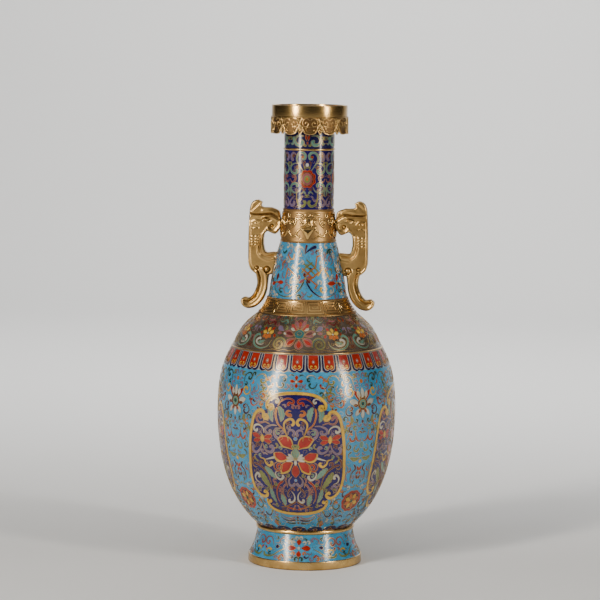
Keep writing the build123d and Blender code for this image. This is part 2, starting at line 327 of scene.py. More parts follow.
def smooth_curve(points):
    """A natural cubic curve of radius against height, and its slope, through (radius, height)."""
    r, z = np.array(points, float).T
    gap = np.diff(z)
    count = len(z)
    left = np.zeros((count, count))
    right = np.zeros(count)
    left[0, 0] = left[-1, -1] = 1
    for i in range(1, count - 1):
        left[i, i - 1:i + 2] = gap[i - 1], 2 * (gap[i - 1] + gap[i]), gap[i]
        right[i] = 3 * ((r[i + 1] - r[i]) / gap[i] - (r[i] - r[i - 1]) / gap[i - 1])
    c = np.linalg.solve(left, right)
    b = np.diff(r) / gap - gap * (2 * c[:-1] + c[1:]) / 3
    d = np.diff(c) / (3 * gap)

    def radius_and_slope(height):
        height = np.clip(np.asarray(height, float), z[0], z[-1])
        k = np.clip(np.searchsorted(z, height) - 1, 0, count - 2)
        t = height - z[k]
        slope = b[k] + 2 * c[k] * t + 3 * d[k] * t ** 2
        return r[k] + b[k] * t + c[k] * t ** 2 + d[k] * t ** 3, slope

    return radius_and_slope


foot = smooth_curve([(36.6, 5.7), (34.0, 11.0), (32.1, 17.5), (31.2, 22.3)])
# how thick the enamel skin is, in mm
SKIN = 1.0


def enamel(name, colour, cloud=0.2, fleck=0.12, roughness=0.17):
    """Polished enamel: a little cloudy and flecked from the firings, with pinholes in it."""
    made = bpy.data.materials.new(name)
    made.use_nodes = True
    tree = made.node_tree
    shader = tree.nodes["Principled BSDF"]
    where = node_in(tree, "ShaderNodeTexCoord", -1300, 0)
    colour = np.array(colour)
    soft = node_in(tree, "ShaderNodeTexNoise", -1080, 160, Scale=140.0, Detail=5.0, Roughness=0.62)
    tree.links.new(where.outputs["Object"], soft.inputs["Vector"])
    tone = ramp_of(
        tree, -820, 160,
        (0.34, tuple(colour * (1 - cloud))), (0.5, tuple(colour)),
        (0.68, tuple(np.clip(colour * (1 + cloud) + 0.02 * cloud, 0, 1))),
    )
    tree.links.new(soft.outputs["Fac"], tone.inputs["Fac"])
    specks = node_in(tree, "ShaderNodeTexVoronoi", -1080, -140, Scale=1500.0)
    tree.links.new(where.outputs["Object"], specks.inputs["Vector"])
    thin = ramp_of(tree, -820, -140, (0.05, (fleck,) * 3), (0.22, (0, 0, 0)))
    tree.links.new(specks.outputs["Distance"], thin.inputs["Fac"])
    mix = node_in(tree, "ShaderNodeMix", -460, 100, data_type="RGBA")
    tree.links.new(thin.outputs["Color"], mix.inputs[0])
    tree.links.new(tone.outputs["Color"], mix.inputs[6])
    mix.inputs[7].default_value = (*np.clip(colour * 0.25, 0, 1), 1)
    tree.links.new(mix.outputs[2], shader.inputs["Base Color"])
    rub = node_in(tree, "ShaderNodeMapRange", -460, -160)
    rub.inputs["To Min"].default_value = roughness * 0.8
    rub.inputs["To Max"].default_value = roughness * 1.35
    tree.links.new(soft.outputs["Fac"], rub.inputs["Value"])
    tree.links.new(rub.outputs["Result"], shader.inputs["Roughness"])
    shader.inputs["IOR"].default_value = 1.52
    wave = node_in(tree, "ShaderNodeTexNoise", -820, -420, Scale=420.0, Detail=4.0)
    tree.links.new(where.outputs["Object"], wave.inputs["Vector"])
    bump = node_in(tree, "ShaderNodeBump", -460, -420, Strength=0.10, Distance=0.0002)
    tree.links.new(wave.outputs["Fac"], bump.inputs["Height"])
    tree.links.new(bump.outputs["Normal"], shader.inputs["Normal"])
    return made


ENAMELS = {
    "turquoise": enamel("enamel_turquoise", (0.034, 0.195, 0.335)),
    "red": enamel("enamel_vermilion", (0.24, 0.013, 0.006)),
    "orange": enamel("enamel_orange", (0.347, 0.0868, 0.0186)),
    "yellow": enamel("enamel_yellow", (0.46, 0.27, 0.03)),
    "white": enamel("enamel_white", (0.346, 0.335, 0.279)),
    "pink": enamel("enamel_pink", (0.187, 0.058, 0.067)),
    "mauve": enamel("enamel_mauve", (0.134, 0.0944, 0.149)),
    "olive": enamel("enamel_olive", (0.124, 0.143, 0.0434)),
    "green": enamel("enamel_deep_green", (0.00744, 0.0496, 0.0434)),
    "navy": enamel("enamel_navy", (0.00744, 0.00744, 0.0434)),
}


def ground(name, curve, node, colour, slot, step=1.6):
    """A closed skin of enamel on a turned curve, as high as the CAD node it stands for."""
    low, high = span(node)
    heights = np.linspace(low, high, max(3, int((high - low) / step)))
    radii = curve(heights)[0]
    section = list(zip(radii, heights)) + list(zip(radii[::-1] - SKIN, heights[::-1]))
    return fit_out(turned(name, section, 50), ENAMELS[colour], slot, node)


ground("foot_ground", foot, "foot_enamel", "turquoise", "turquoise_enamel")


def through(points, gap=0.55, closed=False):
    """A smooth line through given points, as evenly spaced stations."""
    p = np.array(points, float)
    if closed:
        p = np.vstack([p[-1], p, p[:2]])
    else:
        p = np.vstack([2 * p[0] - p[1], p, 2 * p[-1] - p[-2]])
    out = []
    for a, b, c, d in zip(p[:-3], p[1:-2], p[2:-1], p[3:]):
        steps = max(2, int(np.linalg.norm(c - b) / gap) + 1)
        t = np.linspace(0, 1, steps, endpoint=False)[:, None]
        out.append(0.5 * (2 * b + (c - a) * t + (2 * a - 5 * b + 4 * c - d) * t ** 2
                          + (3 * b - a - 3 * c + d) * t ** 3))
    out = np.vstack(out)
    return out if closed else np.vstack([out, p[-2]])


def spiral(centre, outer, inner, turns, start, hand=1, gap=0.5):
    """A spiral from its outside in; start is the angle of its outer end in degrees."""
    count = max(8, int(turns * math.pi * (outer + inner) / gap))
    t = np.linspace(0, 1, count)
    a = math.radians(start) + hand * 2 * math.pi * turns * t
    r = outer + (inner - outer) * t ** 0.8
    return np.stack([centre[0] + r * np.cos(a), centre[1] + r * np.sin(a)], axis=1)


def normals_of(line, closed=False):
    """Unit normals to the left of a line of stations."""
    if closed:
        run = np.roll(line, -1, 0) - np.roll(line, 1, 0)
    else:
        run = np.gradient(line, axis=0)
    run /= np.maximum(np.linalg.norm(run, axis=1), 1e-9)[:, None]
    return np.stack([-run[:, 1], run[:, 0]], axis=1)


# how far cells and wires reach down into the ground, in mm
ROOTED = 0.2


class Inlay:
    """Cells and wires drawn flat in mm, then laid on a turned surface at several turns."""

    def __init__(self, curve, girth_radius):
        # drawn holds every line laid so far; while paired is set, each is mirrored about arc 0
        self.curve = curve
        self.girth = girth_radius
        self.cells = {}
        self.wires = []
        self.drawn = []
        self.paired = False

    def add(self, store, line, half, section, closed=False):
        """Sweeps a section of (share of the half width, lift) points along a line."""
        line = np.asarray(line, float)
        half = np.broadcast_to(half, len(line)).astype(float)
        share, lift = np.array(section, float).T
        for flip in ((1, -1) if self.paired else (1,)):
            path = line * (flip, 1)
            side = normals_of(path, closed)
            flank = side * half[:, None] * 0.6
            self.drawn.extend([path, path + flank, path - flank])
            flat = path[:, None, :] + side[:, None, :] * (half[:, None] * share[None, :])[:, :, None]
            height = np.broadcast_to(lift[None, :, None], flat.shape[:2] + (1,))
            store.append((np.concatenate([flat, height], axis=2), closed))

    def wire(self, line, width=0.32, lift=0.13, closed=False):
        """A gilt wire laid along a line, its top stoned nearly flat."""
        section = [(1, -ROOTED), (0.6, lift), (-0.6, lift), (-1, -ROOTED)]
        self.add(self.wires, line, width / 2, section, closed)

    def ridge(self, line, half, lift):
        """A rounded gilt ridge along a line."""
        section = [(1, -0.3), (0.9, 0.45 * lift), (0.5, 0.9 * lift), (0, lift), (-0.5, 0.9 * lift),
                   (-0.9, 0.45 * lift), (-1, -0.3)]
        self.add(self.wires, line, half, section)

    def band(self, line, half, colour, lift=0.05, wire=0.28):
        """A run of enamel along a line, as wide as its half widths say, with wire round it."""
        line = np.asarray(line, float)
        half = np.broadcast_to(half, len(line)).astype(float)
        section = [(1, -ROOTED), (1, lift), (-1, lift), (-1, -ROOTED)]
        if half.max() > 1.6:
            section.insert(2, (0, lift))
        self.add(self.cells.setdefault(colour, []), line, half, section)
        if wire:
            side = normals_of(line) * half[:, None]
            rim = np.vstack([line + side, (line - side)[::-1]])
            keep = np.ones(len(rim), bool)
            keep[1:] = np.linalg.norm(np.diff(rim, axis=0), axis=1) > 0.1
            self.wire(rim[keep], wire, lift + 0.07, closed=True)

    def curl(self, points, width, colour, lift=0.05, head=1.0, wire=0.28):
        """A scroll of enamel that swells to a round head and thins to its tail."""
        line = through(points)
        t = np.linspace(0, 1, len(line))
        grow = np.minimum(1, np.sqrt(np.clip(t / 0.06, 0, 1))) * (head + (1 - head) * t)
        half = width * 0.6 * grow * np.clip(1.12 - t, 0.16, 1) ** 0.8
        half[0] = half[-1] = 0.05
        self.band(line, half, colour, lift, wire)

    def strap(self, points, width, colour, lift=0.05):
        """A straight-sided ribbon through square corners."""
        p = np.array(points, float)
        for a, b in zip(p[:-1], p[1:]):
            run = (b - a) / np.linalg.norm(b - a) * width / 2
            self.band(np.linspace(a - run, b + run, 6), width / 2, colour, lift)

    def blob(self, centre, size, colour, lift=0.06, turn=0.0, wire=0.26):
        """A round or oval cell."""
        t = -np.cos(np.linspace(0, math.pi, 10))
        a = math.radians(turn)
        line = np.array(centre) + np.outer(t * size[0] / 2, (math.cos(a), math.sin(a)))
        self.band(line, np.sqrt(np.clip(1 - t ** 2, 0.004, 1)) * size[1] / 2, colour, lift, wire)

    def petal(self, root, tip, width, colour, lift=0.06, fat=0.6, bend=0.0, wire=0.26):
        """A leaf-shaped cell from a root to a tip, fattest part way along."""
        root, tip = np.array(root, float), np.array(tip, float)
        run = tip - root
        t = np.linspace(0, 1, max(7, int(np.linalg.norm(run) / 0.6)))
        out = np.array([-run[1], run[0]]) * bend
        line = root + np.outer(t, run) + np.outer(4 * t * (1 - t), out)
        power = math.log(0.5) / math.log(fat)
        half = np.sin(math.pi * np.clip(t, 0.01, 0.985) ** power) ** 0.75 * width / 2
        self.band(line, half, colour, lift, wire)

    def leaf(self, points, width, colour, teeth=4, lift=0.05):
        """A serrated leaf along a line, with a vein down its middle."""
        line = through(points, 0.35)
        t = np.linspace(0, 1, len(line))
        shape = np.sin(math.pi * np.clip(t, 0.02, 0.985) ** 0.8) ** 0.7
        saw = 1 - 0.34 * ((t * teeth) % 1.0)
        self.band(line, shape * saw * width / 2 + 0.04, colour, lift)
        self.wire(line[2:-2], 0.2, lift + 0.06)

    def area(self, outline, colour, lift=0.05, wire=0.28, dome=0.0, depth=ROOTED):
        """A cell filling a smooth closed outline, in rings so that it follows the surface."""
        x, y = np.array(outline, float).T
        clockwise = 1 if np.sum(x * np.roll(y, -1) - y * np.roll(x, -1)) < 0 else -1
        for flip in ((1, -1) if self.paired else (1,)):
            line = np.array(outline, float)[::flip * clockwise] * (flip, 1)
            middle = (line.max(0) + line.min(0)) / 2
            rings = [np.c_[middle + (line - middle) * k, np.full(len(line), lift + dome * (1 - k * k))]
                     for k in (1, 0.85, 0.6, 0.3, 0.03)]
            skirt = np.c_[line, np.full(len(line), -depth)]
            store = self.wires if colour == "gilt" else self.cells.setdefault(colour, [])
            store.append((np.stack([skirt] + rings, axis=1), True))
            self.drawn.extend(ring[:, :2] for ring in rings)
        if wire:
            self.wire(outline, wire, lift + 0.07, closed=True)

    def fill(self, width, low, high, colours, size=1.0, bare=None):
        """Strews small scrolls of wire and enamel wherever the drawing leaves the ground bare."""
        luck = np.random.RandomState(len(self.drawn))
        across = np.arange(0.5 if self.paired else -width, width, 0.8 * size)
        spots = np.stack(np.meshgrid(across, np.arange(low, high, 0.8 * size)), -1).reshape(-1, 2)
        spots += luck.uniform(-0.3, 0.3, spots.shape) * size
        luck.shuffle(spots)
        if bare:
            spots = spots[bare(spots)]
        drawn = np.vstack(self.drawn)
        count = 0
        for spot in spots:
            room = np.sqrt(((drawn - spot) ** 2).sum(1).min())
            room = min(room, spot[0] + 0.4) if self.paired else room
            if room < 0.95 * size:
                continue
            outer = min(room - 0.2, 1.3 * size)
            start, hand = luck.uniform(0, 360), luck.choice((-1, 1))
            line = spiral(spot, 0.3 * outer, outer, 0.9, start, hand, 0.9)
            colour = colours[count % len(colours)]
            if colour == "gilt":
                self.wire(line, 0.26, 0.1)
            else:
                self.curl(line, 0.85 * size, colour, wire=0.2)
            drawn = np.vstack([drawn, line])
            count += 1

    def laid(self, store, turns):
        """All the runs of one kind as points in space and faces."""
        points, faces, base = [], [], 0
        for flat, closed in store:
            n, m = flat.shape[:2]
            own = []
            for i in range(n if closed else n - 1):
                j = (i + 1) % n
                for k in range(m):
                    q = (k + 1) % m
                    own.append((i * m + k, i * m + q, j * m + q, j * m + k))
            if not closed:
                own.append(tuple(range(m)))
                own.append(tuple((n - 1) * m + k for k in range(m - 1, -1, -1)))
            for turn in turns:
                a = flat[..., 0] / self.girth + math.radians(turn)
                radius, slope = self.curve(flat[..., 1])
                steep = 1 / np.sqrt(1 + slope ** 2)
                r = radius + flat[..., 2] * steep
                z = flat[..., 1] - flat[..., 2] * steep * slope
                points.append(np.stack([r * np.sin(a), -r * np.cos(a), z], -1).reshape(-1, 3))
                faces.extend([tuple(v + base for v in f) for f in own])
                base += n * m
        return np.vstack(points), faces

    def lay(self, name, turns, slot, *nodes, metal=None):
        """Makes the zone's enamel piece and its wire piece, at each of the turns in degrees."""
        points, faces, slots, base = [], [], [], 0
        for k, colour in enumerate(self.cells):
            p, f = self.laid(self.cells[colour], turns)
            points.append(p)
            faces.extend([tuple(v + base for v in face) for face in f])
            slots.extend([k] * len(f))
            base += len(p)
        if points:
            piece = mesh_piece(name + "_cells", np.vstack(points), faces, 40)
            for colour in self.cells:
                piece.data.materials.append(ENAMELS[colour])
            piece.data.polygons.foreach_set("material_index", slots)
            fit_out(piece, None, slot, *nodes)
        if self.wires:
            p, f = self.laid(self.wires, turns)
            kind = "_wires" if self.cells else "_relief"
            fit_out(mesh_piece(name + kind, p, f, 50), metal or wire_gold, "gilt_bronze")


wire_gold = gilding("wire_gold", (0.62, 0.40, 0.13), (0.34, 0.20, 0.06), (0.11, 0.055, 0.018), 0.3)

FOOT_R = 32.5
skirting = Inlay(foot, FOOT_R)
skirting.petal((0, 15.6), (0, 19.4), 3.2, "red")
skirting.petal((0, 12.4), (0, 8.6), 3.2, "red")
skirting.paired = True
skirting.petal((1.4, 14.0), (7.4, 13.9), 3.4, "red")
skirting.petal((12.8, 14.2), (16.0, 14.0), 2.4, "navy")
for points, width, colour in (
    ([(22.6, 17.2), (21.4, 16.2), (22.8, 14.8), (25.0, 16.6), (23.8, 19.2), (20.4, 19.6),
      (18.6, 17.2), (17.4, 14.4)], 1.1, "pink"),
    ([(9.4, 17.8), (8.2, 19.0), (9.8, 20.2), (12.6, 19.0), (13.4, 16.6), (16.4, 16.2)], 1.1, "mauve"),
    ([(15.6, 20.6), (14.4, 19.2), (16.4, 18.2)], 0.9, "green"),
    ([(24.8, 9.8), (22.6, 7.8), (17.4, 8.2), (13.2, 11.2), (9.0, 13.4)], 1.0, "olive"),
    ([(18.4, 11.4), (20.6, 12.4), (22.8, 11.2), (21.2, 9.8)], 1.1, "yellow"),
    ([(3.2, 9.2), (4.4, 7.9), (6.4, 9.0)], 1.0, "navy"),
    ([(5.4, 18.8), (4.0, 20.0), (2.6, 19.4)], 0.9, "green"),
    ([(9.4, 8.0), (10.6, 9.4), (13.0, 8.2)], 0.9, "red"),
    ([(5.2, 10.8), (7.2, 10.0), (8.4, 11.4)], 0.8, "mauve"),
    ([(24.9, 13.4), (23.4, 12.6), (24.6, 11.4)], 0.9, "red"),
):
    skirting.curl(points, width, colour, wire=0.24)
skirting.fill(25.2, 7.4, 21.2, ("white", "gilt", "green", "orange", "gilt", "mauve"), 1.35)
skirting.paired = False
skirting.blob((0, 14.0), (1.9, 1.9), "white", 0.12)
QUARTERS = (0, 90, 180, 270)
skirting.lay("foot", QUARTERS, "turquoise_enamel")

# ---------------------------------------------------------------------------------------------
# Foot fillet: a narrow ring of gilt bronze, turned, with a rounded face. It covers the seam
# between foot and body.
# ---------------------------------------------------------------------------------------------
FILLET_R = 32.3
FILLET_BACK_R = 30.0
low, high = span("foot_fillet")
fillet_section = rounded([
    (FILLET_BACK_R, low), (FILLET_R - 0.8, low), (FILLET_R, low + 0.8), (FILLET_R, high - 0.8),
    (FILLET_R - 0.4, high), (FILLET_BACK_R, high),
], 0.7)
fit_out(turned("foot_fillet_turned", fillet_section), gilt, "gilt_bronze", "foot_fillet")

# ---------------------------------------------------------------------------------------------
# Body: raised from sheet copper and skinned with turquoise enamel. One swelling curve runs from
# here through shoulder and collar to the top of the lower neck.
# ---------------------------------------------------------------------------------------------
waist = smooth_curve([
    (31.6, 25.0), (36.4, 30.0), (44.0, 40.0), (50.9, 54.0), (55.8, 72.0), (58.1, 94.0),
    (57.9, 113.0), (54.1, 132.0), (47.5, 146.0), (38.2, 159.5), (31.8, 165.0), (28.4, 169.5),
    (25.8, 175.2), (24.6, 182.0), (23.0, 191.5), (20.9, 201.0), (18.2, 211.0),
])
ground("body_ground", waist, "body_enamel", "turquoise", "turquoise_enamel")

# ---------------------------------------------------------------------------------------------
# Cartouches: four cobalt fields a quarter turn apart, each with a red lotus among scrolls and
# serrated leaves, framed in yellow enamel that curls inwards at the corners.
# ---------------------------------------------------------------------------------------------
ENAMELS["cobalt"] = enamel("enamel_cobalt", (0.0085, 0.0042, 0.066))
ENAMELS["mint"] = enamel("enamel_mint", (0.0892, 0.179, 0.132))
ENAMELS["maroon"] = enamel("enamel_maroon", (0.0806, 0.0112, 0.0124))
ENAMELS["blue"] = enamel("enamel_pale_blue", (0.0868, 0.192, 0.372))


def nearest(points, line, closed=False):
    """The distance from each point to a line of stations."""
    a = np.asarray(line, float)
    b = np.roll(a, -1, 0) if closed else a[1:]
    a = a if closed else a[:-1]
    best = np.full(len(points), 1e9)
    for p, q in zip(a, b):
        run = q - p
        t = np.clip(((points - p) @ run) / max(run @ run, 1e-9), 0, 1)
        best = np.minimum(best, np.linalg.norm(points - p - t[:, None] * run, axis=1))
    return best


def inside(points, line):
    """Whether each point lies inside a closed line."""
    x, y = points.T
    within = np.zeros(len(points), bool)
    for (x0, y0), (x1, y1) in zip(line, np.roll(line, -1, 0)):
        crosses = (y0 > y) != (y1 > y)
        at = x0 + (y - y0) / (y1 - y0 if y1 != y0 else 1e-9) * (x1 - x0)
        within ^= crosses & (x < at)
    return within


PANEL_R = 57.0
SIDES = ("front", "right", "back", "left")
panel = Inlay(waist, PANEL_R)

# the frame in mm: one lobe above, one below and a long curve down each side, as (arc, height)
upper_lobe = [(17.4, 107.9), (15.6, 108.0), (15.0, 109.9), (16.6, 110.3), (18.3, 108.6), (18.9, 110.8),
              (18.0, 113.0), (15.6, 115.3), (11.6, 117.2), (6.4, 118.2), (0, 118.5)]
side_lobe = [(20.6, 104.2), (18.9, 103.6), (18.2, 102.2), (19.6, 101.4), (21.3, 102.9), (21.0, 105.2),
             (22.6, 106.7), (25.4, 106.0), (28.0, 102.6), (29.8, 96.0), (31.4, 86.0), (32.4, 74.0),
             (33.1, 64.0), (32.2, 56.0), (29.4, 51.3), (26.0, 49.6), (23.4, 50.0), (22.0, 51.8),
             (23.6, 53.3), (24.9, 52.0)]
lower_lobe = [(20.6, 48.0), (20.6, 46.6), (22.2, 46.3), (23.2, 47.4), (23.4, 45.4), (21.8, 42.6),
              (17.6, 40.3), (9.6, 38.8), (0, 38.3)]
outline = [(0, 118.5), (6.4, 118.2), (11.6, 117.2), (15.6, 115.3), (18.0, 113.0), (18.9, 110.8),
           (19.0, 108.0), (20.4, 106.6), (22.6, 106.7), (25.4, 106.0), (28.0, 102.6), (29.8, 96.0),
           (31.4, 86.0), (32.4, 74.0), (33.1, 64.0), (32.2, 56.0), (29.4, 51.3), (26.0, 49.6),
           (23.2, 48.8), (23.4, 45.4), (21.8, 42.6), (17.6, 40.3), (9.6, 38.8), (0, 38.3)]

# the cobalt field of each: a thin closed plate that follows the body's curve
FIELD_LIFT = 0.03
FIELD_DEPTH = 0.4
side = through(outline, 0.8)
heights = np.linspace(38.45, 118.35, 90)
half = np.array([np.interp(h, side[::-1, 1], side[::-1, 0]) for h in heights])
u = half[:, None] * np.linspace(-1, 1, 41)[None, :]
v = np.broadcast_to(heights[:, None], u.shape)
rows, columns = u.shape
for name, turn in zip(SIDES, QUARTERS):
    layers = []
    for lift in (FIELD_LIFT, -FIELD_DEPTH):
        radius, slope = waist(v)
        steep = 1 / np.sqrt(1 + slope ** 2)
        a = u / PANEL_R + math.radians(turn)
        r = radius + lift * steep
        z = v - lift * steep * slope
        layers.append(np.stack([r * np.sin(a), -r * np.cos(a), z], -1).reshape(-1, 3))
    count = rows * columns
    faces = []
    for i in range(rows - 1):
        for j in range(columns - 1):
            k = i * columns + j
            faces.append((k, k + 1, k + columns + 1, k + columns))
            faces.append((count + k, count + k + columns, count + k + columns + 1, count + k + 1))
    loop = list(range(columns)) + [i * columns + columns - 1 for i in range(1, rows)]
    loop += [(rows - 1) * columns + j for j in range(columns - 2, -1, -1)]
    loop += [i * columns for i in range(rows - 2, 0, -1)]
    for here, there in zip(loop, loop[1:] + loop[:1]):
        faces.append((here, here + count, there + count, there))
    plate = mesh_piece("panel_ground_" + name, np.vstack(layers), faces, 50)
    fit_out(plate, ENAMELS["cobalt"], "cobalt_enamel", "panel_" + name)

# the yellow frame, its curled ends rounded off
FRAME_HALF = 0.95
panel.paired = True
for lobe in (upper_lobe, side_lobe, lower_lobe):
    line = through(lobe)
    half = np.full(len(line), FRAME_HALF)
    half[:4] = (0.3, 0.75, 1.0, 1.05)
    if lobe is side_lobe:
        half[-1] = 0.3
    panel.band(line, half, "yellow", lift=0.12)

# central lotus: pale-rimmed petals, white stamens, a green fan and a seed pod
LOTUS_UP = 75.6
for root, tip, width, bend in (
    ((2.0, 82.3), (11.6, 88.8), 8.0, 0.14), ((4.4, 76.9), (14.2, 79.6), 6.8, -0.14),
    ((1.6, 73.5), (9.4, 65.8), 6.8, 0.10),
):
    panel.petal(root, tip, width, "yellow", 0.05, 0.55, bend)
    inner_tip = (tip[0] * 0.92 + root[0] * 0.08, tip[1] * 0.92 + root[1] * 0.08 + 0.5)
    panel.petal((root[0] + 0.3, root[1] + 0.4), inner_tip, width * 0.8, "red", 0.09, 0.55, bend)
panel.paired = False
panel.petal((0, 73.2), (0, 64.0), 5.2, "red", 0.07, 0.6)
for a in range(-100, 101, 25):
    t = math.radians(a + 90)
    tip = (6.2 * math.cos(t), LOTUS_UP + 5.8 * math.sin(t))
    panel.petal((0, LOTUS_UP), tip, 1.8, "white", 0.12, 0.7, wire=0.18)
panel.petal((0, 74.6), (0, 83.0), 5.0, "mint", 0.17, 0.62)
for lean in (-1.1, 0, 1.1):
    panel.wire(through([(0, LOTUS_UP), (lean * 0.8, 79.0), (lean, 82.2)]), 0.2, 0.24)
panel.blob((0, 84.2), (5.2, 2.8), "olive", 0.2)
panel.blob((0, 84.3), (2.2, 1.1), "green", 0.23)
panel.petal((0, 76.0), (0, 71.6), 1.8, "white", 0.2, 0.5)
panel.blob((0, 89.4), (2.4, 2.4), "blue", 0.1)
panel.blob((0, 61.9), (1.9, 1.9), "blue", 0.1)

panel.paired = True
# side flowers with paired curls under them
panel.petal((22.4, 88.8), (29.4, 91.2), 3.2, "red", 0.06, 0.6)
panel.petal((22.4, 87.8), (28.6, 86.6), 2.8, "red", 0.07, 0.6)
panel.petal((21.6, 88.8), (15.2, 90.8), 3.2, "red", 0.06, 0.6)
panel.petal((21.6, 87.8), (15.6, 86.4), 2.8, "red", 0.07, 0.6)
panel.petal((22.0, 85.8), (22.0, 91.2), 2.6, "yellow", 0.11, 0.5)
panel.curl([(17.2, 83.2), (15.2, 83.7), (14.6, 81.6), (16.8, 79.8), (20.2, 81.4),
            (21.8, 85.2)], 1.6, "mauve")
panel.curl([(27.5, 82.2), (28.9, 82.8), (29.4, 80.4), (27.0, 79.0), (24.0, 81.4),
            (22.4, 85.2)], 1.6, "mauve")
# yellow hooks over the lotus and orange buds above them
panel.curl([(2.9, 98.7), (1.9, 98.2), (1.0, 99.9), (2.6, 102.0), (5.8, 101.0), (7.4, 98.0),
            (6.3, 93.5), (4.5, 89.4)], 1.4, "yellow")
panel.curl([(2.4, 104.9), (4.0, 104.3), (5.8, 105.6), (4.8, 107.2), (2.8, 107.0)], 1.9, "orange")
# red spirals meeting at the top and the brown stems that run down from them
panel.curl([(3.9, 110.6), (5.0, 111.1), (4.1, 112.5), (1.9, 111.8), (1.3, 113.6), (3.4, 114.9),
            (6.5, 114.8), (9.7, 112.8), (11.8, 109.8)], 1.2, "red", head=0.8)
panel.curl([(12.0, 109.2), (12.8, 106.0), (12.5, 102.2), (11.0, 98.3), (7.6, 95.0), (5.2, 90.6),
            (4.6, 87.6)], 1.0, "orange")
# serrated leaf pairs beside the stems
panel.leaf([(14.0, 109.4), (16.2, 106.4), (16.0, 103.0), (14.8, 99.8)], 4.2, "mint")
panel.leaf([(10.8, 109.6), (9.2, 106.6), (8.6, 103.4), (9.4, 100.2)], 4.4, "mint")
# mauve curls round the field
for points, width, colour in (
    ([(2.1, 92.0), (1.1, 91.6), (0.8, 93.4), (2.2, 94.9), (4.3, 94.2), (4.8, 91.6)], 1.3, "mauve"),
    ([(12.9, 113.5), (12.1, 112.2), (11.0, 113.4), (12.2, 114.9), (14.6, 114.5),
      (16.2, 112.8)], 1.2, "white"),
    ([(10.3, 90.9), (8.9, 90.4), (10.2, 88.9), (12.8, 90.3), (13.8, 93.1), (12.4, 95.4),
      (9.4, 95.9)], 1.7, "mauve"),
    ([(17.4, 94.1), (16.0, 93.6), (17.2, 92.1), (19.4, 92.6), (20.0, 94.6), (18.3, 96.4), (15.0, 97.6),
      (11.8, 97.4)], 1.4, "mauve"),
    ([(25.3, 94.9), (26.3, 93.1), (28.2, 94.2), (27.4, 96.4), (24.6, 97.2), (21.6, 95.4),
      (20.9, 92.0)], 1.3, "white"),
    ([(22.8, 101.0), (24.2, 103.4), (26.2, 102.4), (25.6, 99.8), (23.4, 98.6), (20.0, 99.4), (16.8, 98.2)],
     1.4, "pink"),
    ([(21.8, 105.0), (23.4, 105.4), (25.0, 104.4)], 0.8, "pink"),
    ([(6.4, 109.4), (7.0, 111.0), (8.6, 110.8)], 1.0, "mauve"),
    ([(18.0, 100.2), (18.6, 101.4), (20.4, 101.2), (21.2, 99.8)], 0.9, "olive"),
    ([(13.0, 86.0), (11.6, 84.6), (12.4, 83.0), (14.0, 83.0)], 1.0, "olive"),
    ([(30.0, 97.0), (29.4, 99.4), (28.0, 100.8)], 0.9, "mauve"),
    ([(18.4, 85.6), (16.8, 85.0)], 0.8, "maroon"),
):
    panel.curl(points, width, colour)
# red spirals, white hooks and pale forks under the lotus
for points, width, colour in (
    ([(10.8, 70.0), (11.8, 69.6), (12.3, 71.2), (10.9, 72.5), (9.3, 71.2), (9.8, 69.0), (12.0, 67.9),
      (14.2, 69.4), (14.3, 72.2), (12.0, 73.8)], 1.1, "red"),
    ([(9.4, 65.1), (8.5, 63.7), (10.6, 62.1), (13.2, 63.8), (13.8, 66.6), (12.2, 67.4)], 1.4, "white"),
    ([(16.9, 73.9), (15.7, 72.5), (17.9, 70.9), (20.3, 72.8), (21.2, 75.0), (24.6, 75.8)], 1.5, "yellow"),
    ([(13.4, 76.9), (17.1, 75.8), (20.6, 74.8)], 1.2, "white"),
    ([(29.4, 71.8), (26.0, 71.0), (22.0, 68.4), (19.2, 64.8), (17.9, 60.0), (17.4, 54.6)], 1.0, "maroon"),
    ([(27.6, 62.6), (26.2, 63.4), (27.4, 65.2), (29.8, 63.0), (29.2, 60.0), (26.2, 58.9)], 1.4, "white"),
    ([(26.6, 55.8), (25.4, 56.6), (27.0, 58.0), (29.4, 56.2), (29.2, 53.6), (26.8, 53.0)], 1.4, "mauve"),
    ([(28.2, 75.6), (30.2, 74.2), (30.6, 71.2), (29.0, 69.0), (27.2, 69.6)], 1.1, "maroon"),
    ([(29.0, 84.2), (30.7, 85.4), (30.3, 87.2)], 1.0, "mauve"),
    ([(29.8, 78.4), (30.8, 80.2), (30.4, 82.4)], 0.9, "maroon"),
    ([(22.0, 78.4), (20.2, 79.0), (18.4, 78.0)], 0.9, "mauve"),
    ([(25.8, 73.2), (27.8, 74.6), (28.4, 77.0), (26.4, 77.6)], 1.0, "olive"),
    ([(6.2, 63.6), (7.2, 61.6), (6.2, 59.2), (6.0, 56.8)], 0.9, "pink"),
):
    panel.curl(points, width, colour)
panel.leaf([(21.0, 70.0), (18.0, 67.0), (15.8, 64.8), (13.2, 62.6)], 4.2, "mint", 5)
panel.leaf([(25.2, 67.0), (23.2, 63.0), (20.9, 59.2), (18.2, 55.4)], 4.6, "olive", 5)
